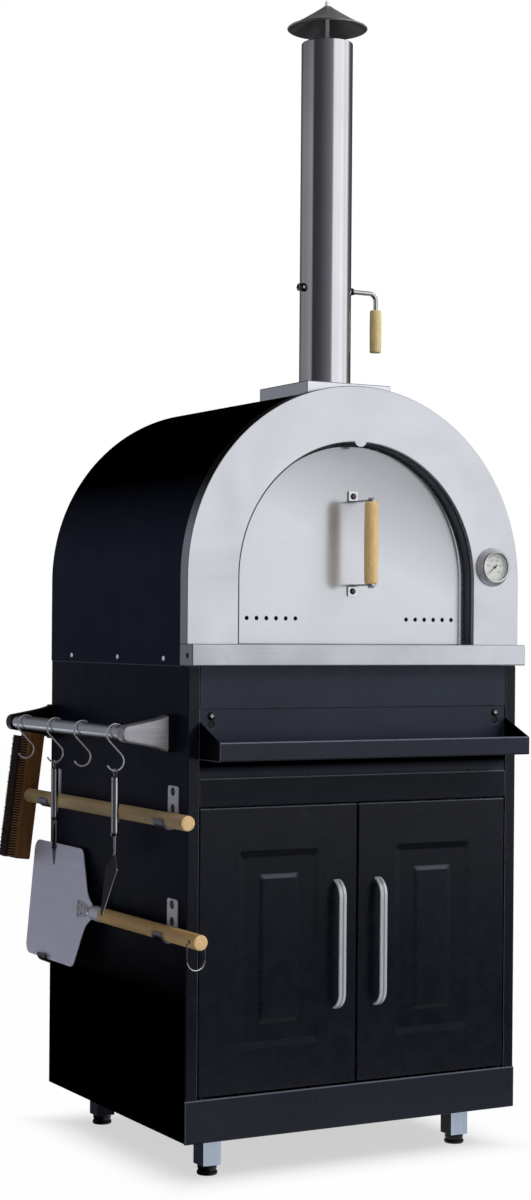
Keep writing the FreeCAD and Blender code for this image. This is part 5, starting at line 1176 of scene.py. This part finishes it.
def bar_support(y):
    """A cast bracket that tapers from a flared foot to a round nose over the bar's end."""
    (nose_x, z), foot_x = BAR, -HALF - 13
    rings = []
    for k in range(16):
        t = k / 15
        rings.append((foot_x + (nose_x - foot_x) * t, (27.0 - 12.2 * t) * (1 + 0.1 * (1 - t) ** 6), 12.5))
    for turn in (math.radians(a) for a in (15, 30, 45, 60, 72, 82)):
        c = math.cos(turn)
        rings.append((nose_x - 14 * math.sin(turn), 14.8 * c ** 0.6, 12.5 - 1.5 * (1 - c)))
    return loft([[Vector((x, y + p.x, z + p.z)) for p in soft_rect(-h, h, -v, v, min(4, v * 0.8), 0, 4)]
                 for x, v, h in rings])


def brackets():
    parts, z = [], BAR[1]
    # Painted shade: the rear bracket takes its near-black copy of the bracket grey.
    for y, material in zip(BAR_Y, (BRUSHED_GREY, SHADED_REAR_GREY)):
        parts += [(bar_support(y), material),
                  (block(-339, -326.6, y - 11.5, y + 11.5, z - 31, z + 31, 1.2), BLACK),
                  (block(-327, -325, y - 14.5, y + 14.5, z - 31.75, z + 31.75, 0.8), BLACK)]
    piece("bar_supports", "table", "brushed_grey", parts, "side_bar_brackets")


def s_hook(number, y):
    top_z, low_z, top_r, low_r = 737.05, 691.5, 16.0, 15.5
    tilt = math.degrees(math.asin((top_r + low_r) / (top_z - low_z)))
    path = bow(BAR[0], top_z, top_r, 50, 180 + tilt, 24) + bow(BAR[0], low_z, low_r, tilt, -155, 24)
    wire, end = tube(upright(y, path), 1.5), "_%d" % number
    piece("hook_wire" + end, "hook" + end, "bright_steel", [(wire, HOOK_STEEL)], "s_hook" + end)


def strap_hooks():
    """Bent straps: a drilled plate with round corners that turns under the pole to a short lip."""
    inner, outer = 13.05, 15.5
    parts = []
    for index, (y, z) in enumerate(hook_places()):
        # Painted shade: the last hook is all in the strap's shadow copy, the other lips in the darker lip
        # copy.
        face, bend = (DARK_STRAP, DARK_STRAP) if index == 3 else (STRAP, SHADED_LIP_STEEL)
        y0, y1 = y - 18.5, y + 18.5
        outline = bow(y1 - 5, z + 50, 5, 0, 90, 6) + bow(y0 + 5, z + 50, 5, 90, 180, 6) + [(y0, z), (y1, z)]
        holes = [ring(y, z + rise, 6.5) for rise in STRAP_HOLES]
        lip = [(POLE_X - outer, z + 1.4), (POLE_X - outer + 0.6, z + 2), (POLE_X - inner - 0.6, z + 2),
               (POLE_X - inner, z + 1.4)]
        curl = bow(POLE_X, z, outer, 0, -180, 20) + lip + bow(POLE_X, z, inner, -180, 0, 20)
        parts += [(plate([outline] + holes, 2.46, 0.4, sideways(-326.27)), face),
                  (loft([upright(side, curl) for side in (y0, y1)]), bend)]
    piece("pole_hooks", "table", "strap_steel", parts, "strap_hooks")


def pole(body, material, z, y0, y1):
    """A round pole with its cut front end; the peel's pole also has a collar and eyelets."""
    length = y1 - y0
    stick = [(0, 1), (12.2, 1.6), (12.6, 2.6), (POLE_R, 4), (POLE_R, length), (0, length)]
    cut = [(0, 0), (9.6, 0), (11.2, 0.5), (12.1, 1.4), (12.35, 2.0), (0, 2.0)]
    foot = POLE_X, y0, z
    parts = [(lathe(stick, foot, REAR, 40), material), (lathe(cut, foot, REAR, 40), CUT_BEECH)]
    if body == "peel":
        collar = [(POLE_R, 371), (POLE_R + 0.3, 371.4), (POLE_R + 0.3, 404), (POLE_R, 404.4)]
        eyelet = [(1.6, 12.2), (3.0, 12.2), (3.0, 12.9), (2.4, 13.2), (1.6, 13.0)]
        parts.append((closed_lathe(collar, foot, REAR, 40), PEEL))
        parts += [(closed_lathe(eyelet, (POLE_X, LOOP_Y, z), axis, 20), DARK_STEEL) for axis in (LEFT, RIGHT)]
    piece(body + "_stick", body, "beech", parts, body + "_pole")


def brush():
    turn = about((POLE_X, 0, BRUSH_Z), "Y", BRUSH_LEAN)
    head = block(POLE_X - 15.5, POLE_X + 15.5, 620, 664, BRUSH_Z - 120, BRUSH_Z + 120, 3.5)
    piece("brush_head", "brush", "stained_wood", [(head, STAINED, turn)], "brush_block")


def bristles():
    """Rows of tufts over a dense core; the roots next to the wood are paler."""
    random.seed(5)
    turn = about((POLE_X, 0, BRUSH_Z), "Y", BRUSH_LEAN)
    x, top, low = POLE_X - 15.3, BRUSH_Z + 108, BRUSH_Z - 118
    across, down = TUFT_PITCH
    parts = [(block(x - 17.2, x + 1, 626.4, 657.6, low + 1, top - 1, 1.5), BRISTLE, turn)]
    for z in (top - 3 - row * 4.9 for row in range(46)):
        parts.append((block(x - 13, x + 0.5, 625.2, 658.8, z - 0.3, z + 0.3, 0.2), BRISTLE_ROOT, turn))
    for row in range(31):
        z = top - 3 - row * down
        for y in (627.4 + column * across for column in range(6)):
            for _ in range(10):
                dy, dz = random.uniform(-2.3, 2.3), random.uniform(-3.2, 3.2)
                lean_y, lean_z = random.uniform(-0.6, 0.6), random.uniform(-0.5, 0.5)
                reach = random.uniform(17.4, 18.6)
                end_y = min(max(y + dy + lean_y, 625.4), 658.6)
                path = [(x, y + dy * 0.6, z + dz * 0.8), (x - reach * 0.5, y + dy * 0.8, z + dz * 0.9),
                        (x - reach, end_y, z + dz + lean_z)]
                parts.append((tube(path, [0.6, 0.56, 0.45], 4), BRISTLE, turn))
    piece("bristle_tufts", "brush", "bristle", parts, "brush_bristles")


def peel():
    z = PEEL_Z
    turn = about((POLE_X, 0, z), "Y", PEEL_LEAN)
    upper = [(613, PEEL_EDGE, 20), (398, PEEL_EDGE, 16), (361, 28, 40), (327, 6, 0)]
    blade = rounded([(y, z + h, r) for y, h, r in upper] + [(y, z - h, r) for y, h, r in reversed(upper)])
    badge = rounded([(401, z + 17, 6), (401, z - 17, 6), (352, z - 9, 4), (352, z + 9, 4)])
    ferrule = [(0, 0), (POLE_R, 0), (13.0, 1.2), (13.0, 3.0), (POLE_R, 4.0), (12.0, 9), (10.4, 17), (8.2, 25),
               (6, 27), (0, 28)]
    rivets = (394, 11), (394, 0), (394, -11), (381, 7), (381, -7), (366, 4)
    parts = [(plate([blade], 2, 0.5, sideways(POLE_X)), PEEL, turn),
             (plate([badge], 1.0, 0.3, sideways(POLE_X - 1.4)), BADGE, turn)]
    parts += [(domed(2.3, 1.3, (POLE_X - 1.8, y, z + h), LEFT, 14), BRIGHT, turn) for y, h in rivets]
    parts.append((lathe(ferrule, (POLE_X, 322, z), REAR, 36), BRIGHT))
    piece("peel_head", "peel", "peel_aluminium", parts, "peel_blade")


def loop():
    x, z, half, turn = POLE_X, PEEL_Z, 16.5, 3.0
    path = [(x, z)] + bow(x + half - turn, z - turn, turn, 90, 0, 6) + bow(x, z - 30, half, 0, -180, 24)
    path += bow(x - half + turn, z - turn, turn, 180, 90, 6) + [(x - 0.3, z)]
    wire = tube(upright(LOOP_Y, path), 1.25, 10)
    piece("hanging_loop", "peel_loop", "bright_steel", [(wire, BRIGHT)], "peel_loop")


def tool_grip(y, length):
    """A hanging eye, its neck and a tube handle with collars."""
    eye = [(BAR[0], a, b) for a, b in bow(y, 673, 6.0, 0, 345, 23)]
    top = [(0, 1.4), (2.6, 1.2), (3.4, 0), (5.2, -0.4), (6.3, -1.6), (6.6, -3), (6.6, -7.5), (6.1, -8),
           (6.1, -9), (6.5, -9.4)]
    low = [(6.5, 8), (6.1, 7.6), (6.1, 6.6), (6.6, 6.2), (6.6, 2), (5.4, 0.2), (2.6, 0), (0, 0)]
    profile = top + [(r, h - length) for r, h in low]
    return [(tube(eye, 1.2, 10, looped=True), BRIGHT),
            (lathe(profile, (BAR[0], y, TOOL_TOP), segments=32), TUBE_STEEL)]


def cutter():
    x, y, end = BAR[0], S_HOOK_Y[1], TOOL_TOP - CUTTER_GRIP
    axle_z = end - 47
    turn = about((x, y, 0), "Z", -28.9)
    arm = rounded([(y - 4, end + 0.5, 1), (y + 4, end + 0.5, 1), (y + 4, axle_z - 4, 3.9),
                   (y - 4, axle_z - 4, 3.9)])
    parts = tool_grip(y, CUTTER_GRIP)
    for side in (-1, 1):
        parts += [(plate([arm], 2, 0.4, sideways(x + side * 2.7)), BRIGHT, turn),
                  (domed(3.2, 1.2, (x + side * 3.7, y, axle_z), (side, 0, 0), 18), BRIGHT, turn)]
    parts += [(block(x - 3.7, x + 3.7, y - 4, y + 4, end - 8, end + 0.2), BRIGHT, turn),
              (lathe(rod(2, -3.7, 3.7), (x, y, axle_z), RIGHT, 16), BRIGHT, turn)]
    piece("cutter_body", "cutter", "gunmetal", parts, "cutter_handle")
    half = [(2.1, 1.2), (9, 1.2), (9.3, 0.8), (26.4, 0.8), (31.4, 0.12)]
    profile = [(r, -h) for r, h in half] + half[::-1]
    disc = closed_lathe(profile, (x, y, axle_z), RIGHT, 64)
    # Painted reflection: the disc takes the near-black blade copy.
    piece("cutter_disc", "cutter_wheel", "bright_steel", [(disc, DARK_REFLECTION_BLADE, turn)], "cutter_wheel")


def server():
    x, y, end = BAR[0], S_HOOK_Y[3], TOOL_TOP - SERVER_GRIP
    top = end - 29
    half = [(3, top, 0), (22, top - 24, 5), (3, top - 103, 2.5)]
    near, far = ([(y + side * w, z, r) for w, z, r in half] for side in (-1, 1))
    outline = near[:1] + far + near[:0:-1]
    blade = plate([rounded(outline)], 1.5, 0.35, sideways(x))
    faces, edges = parted(blade, lambda p: abs(p.x - x) > 0.74)
    turn = about((x, y, top), "Y", 13)
    neck = tube([(x, y, end + 1), (x, y, end - 10), (x, y, top - 2.5)], [2.5, 2.3, 2.1], 16)
    # Painted reflection: the blade's flat faces take the near-black blade copy; its edges stay steel.
    parts = [(neck, BRIGHT), (faces, DARK_REFLECTION_BLADE, turn), (edges, TUBE_STEEL, turn)]
    piece("server_tool", "server", "bright_steel", tool_grip(y, SERVER_GRIP) + parts, "pizza_server")


def paint_nodes():
    carried = {
        "cabinet_back": GALVANISED, "cabinet_deck": FRONT_PAINT, "oven_back_panel": VAULT_PAINT,
        "inner_dome": CHAMBER, "oven_insulation": WOOL, "hearth_board": WOOL, "hearth_stones": STONE,
    }
    for name, material in carried.items():
        mesh = NODES[name].data
        mesh.materials.clear()
        mesh.materials.append(material)


# Stage
CAMERA = (-1.8791, -3.4537, 0.9114)
ROLL = 0.4398
LENS = 65.34
SHIFT = 0.02443
FORWARD = Vector((0.4834, 0.8754, 0))
SIDEWAYS = Vector((0.8754, -0.4834, 0))


def camera():
    data = bpy.data.cameras.new("camera")
    data.lens = LENS
    data.sensor_width = 36.0
    data.shift_y = SHIFT
    data.clip_end = 200.0
    seen = linked("camera", data)
    heading = math.atan2(FORWARD.y, FORWARD.x) - math.pi / 2
    turn = Matrix.Rotation(heading, 4, "Z") @ Matrix.Rotation(math.pi / 2, 4, "X")
    roll = Matrix.Rotation(math.radians(ROLL), 4, "Z")
    seen.matrix_world = Matrix.Translation(CAMERA) @ turn @ roll
    bpy.context.scene.camera = seen


def floor():
    """A white floor that keeps the object's shadow round its feet."""
    made = Finish("floor_white", Roughness=0.9, Specular_IOR_Level=0.0, Base_Color=(0.86, 0.86, 0.86, 1))
    white = made.node("ShaderNodeEmission", {"Strength": 1.0})[0]
    place = made.where()
    sides = []
    for axis, middle, half in (("X", 0.05, 0.325), ("Y", -0.01, 0.28)):
        offset = made.maths("ABSOLUTE", made.maths("SUBTRACT", made.part(place, axis), middle))
        sides.append(made.maths("SUBTRACT", offset, half))
    far = made.span(made.most(*sides), -0.06, 0.07, 0.6, 0.98)
    far.node.interpolation_type = "SMOOTHSTEP"
    factor = made.times(made.looks(), far)
    made.output(made.node("ShaderNodeMixShader", {0: factor, 1: made.shader.outputs[0], 2: white})[0])
    rings = [[(a, b, -0.0004) for a, b in ring(0, 0, r, 64)] for r in (0.01, 1, 2, 4, 12)]
    verts, faces = loft(rings, capped=False)
    mesh = bpy.data.meshes.new("floor")
    mesh.from_pydata(verts, [], faces + [list(range(64))])
    mesh.materials.append(made.material)
    outward(mesh)
    linked("floor", mesh)


def world():
    """Full strength for what looks at the world, a soft fill for what it lights."""
    made = bpy.data.worlds.new("studio")
    made.use_nodes = True
    nodes = Nodes(made.node_tree)
    back = nodes.tree.nodes["Background"]
    back.inputs["Color"].default_value = (1, 1, 1, 1)
    nodes.tree.links.new(nodes.span(nodes.looks(), 0.0, 1.0, 0.3, 1.0), back.inputs["Strength"])
    bpy.context.scene.world = made


def lamp(name, place, aim, size, power):
    data = bpy.data.lights.new(name, "AREA")
    data.size = size
    data.energy = power
    made = linked(name, data)
    made.location = place
    made.rotation_euler = (Vector(aim) - Vector(place)).to_track_quat("-Z", "Y").to_euler()
    made.visible_glossy = False


def ramp(stops, value):
    """The level between (place, level) stops."""
    for (a, low), (b, high) in zip(stops, stops[1:]):
        if value <= b:
            return low + (high - low) * max(0.0, value - a) / (b - a)
    return stops[-1][1]


def card(name, rows, glow):
    """A glowing sheet that only reflections see; glow gives each point's level and tint."""
    made = Finish(name)
    tint = made.node("ShaderNodeAttribute", {}, attribute_name="glow")["Color"]
    made.output(made.node("ShaderNodeEmission", {"Strength": 1.0, "Color": tint})[0])
    verts, faces = loft(rows, closed=False, capped=False)
    mesh = bpy.data.meshes.new(name)
    mesh.from_pydata(verts, [], faces)
    shades = mesh.color_attributes.new("glow", "FLOAT_COLOR", "POINT")
    for shade, vert in zip(shades.data, verts):
        level, tints = glow(vert)
        shade.color = (*(level * t for t in tints), 1)
    mesh.materials.append(made.material)
    sheet = linked(name, mesh)
    for kind in ("camera", "diffuse", "shadow", "transmission", "volume_scatter"):
        setattr(sheet, "visible_" + kind, False)


RING_RADIUS = 5.0
RING_GLOW = [(-180, 0.05), (-156, 0.06), (-146, 0.12), (-134, 0.2), (-122, 0.24), (-107, 0.22), (-93, 0.26),
             (-66, 0.33), (-58, 0.036), (-25, 0.054), (-16, 0.073), (-7, 0.1), (2, 0.13), (11, 0.15),
             (20, 0.2), (27, 0.27), (32, 1.0), (80, 1.0), (86, 0.88), (94, 0.88), (99, 1.0), (106, 0.88),
             (114, 0.25), (122, 0.12), (134, 0.09), (150, 0.04), (180, 0.05)]
LEFT_FADE = [(3.0, 1.0), (3.9, 0.06)]
GROUND_GLOW = [(0.5, 0.7), (0.85, 0.55), (1.1, 0.2), (1.8, 0.04), (3.4, 0.04), (4.9, 0.5)]
ROOF_GLOW = [(0, 0.01), (1, 0.1), (5, 0.8)]


def ring_place(angle, z):
    """A point on the ring; angles turn from the camera's side."""
    turn = math.radians(angle)
    return (SIDEWAYS * math.sin(turn) - FORWARD * math.cos(turn)) * RING_RADIUS + Vector((0, 0, z))


def ring_glow(place):
    angle = math.degrees(math.atan2(place.dot(SIDEWAYS), -place.dot(FORWARD)))
    level = ramp(RING_GLOW, angle)
    if angle < -60:
        return level * ramp(LEFT_FADE, place.z), (0.97, 0.98, 1.04)
    return level, (1, 1, 1.01) if angle > 24 else (0.97, 0.97, 1.06)


def ground_glow(place):
    level = ramp(GROUND_GLOW, place.xy.length)
    if place.x < -0.2:
        level = 0.9 if place.x < -0.36 and 0.45 + 1.81 * (-0.275 - place.x) < place.y < 4.0 else 0.006
    return level, (0.92, 0.97, 1.06)


def cards():
    angles = sorted({a for a, _ in RING_GLOW} | set(range(-180, 181, 5)))
    heights = (-0.5, 1.0, 2.0, 3.0, 3.3, 3.6, 3.9, 5.0)
    card("screen_ring", [[ring_place(a, z) for a in angles] for z in heights], ring_glow)
    steps = [0.2 * k - 4.6 for k in range(47)]
    across = steps[:21] + [-0.201, -0.199] + [0.2 * k for k in range(24)]
    ground = [[Vector((x, y, 0.0003)) for x in across] for y in steps]
    card("screen_ground", ground, ground_glow)
    roof = [[Vector((x, y, 5.0)) for x in (-5, 0, 1, 5)] for y in (-5, 0, 5)]
    card("screen_roof", roof, lambda place: (ramp(ROOF_GLOW, place.x), (1, 1, 1)))


def stage():
    camera()
    floor()
    world()
    lamp("key", (2.6, -3.0, 3.6), (0, 0, 0.9), 1.8, 120)
    lamp("top", (0.3, -0.6, 4.6), (0, 0, 0), 2.6, 70)
    lamp("fill", (-3.6, -2.6, 2.2), (0, 0, 1), 2.6, 8)
    cards()


paint_nodes()
for side, sign in (("left", -1), ("right", 1)):
    side_sheet(side, sign)
    door(side, sign)
    handle(side, sign)
    for end, y in zip(("front", "rear"), LEG_Y):
        levelling_foot("%s_%s_foot" % (end, side), sign * LEG_X, y)
for make in (cabinet_front, tray, leg_set, hinge_set, catch, shelf, screws, rear_screws, rail, fascia,
             mouth_trim, casing, gasket, oven_door, door_pan, grip, grip_mounts, thermometer, chimney, damper,
             cap, bar, brackets, strap_hooks, brush, bristles, peel, loop, cutter, server):
    make()
pole("brush", BEECH, BRUSH_Z, -35, 645)
pole("peel", LOW_BEECH, PEEL_Z, -83, 322)
for number, y in enumerate(S_HOOK_Y, 1):
    s_hook(number, y)
stage()
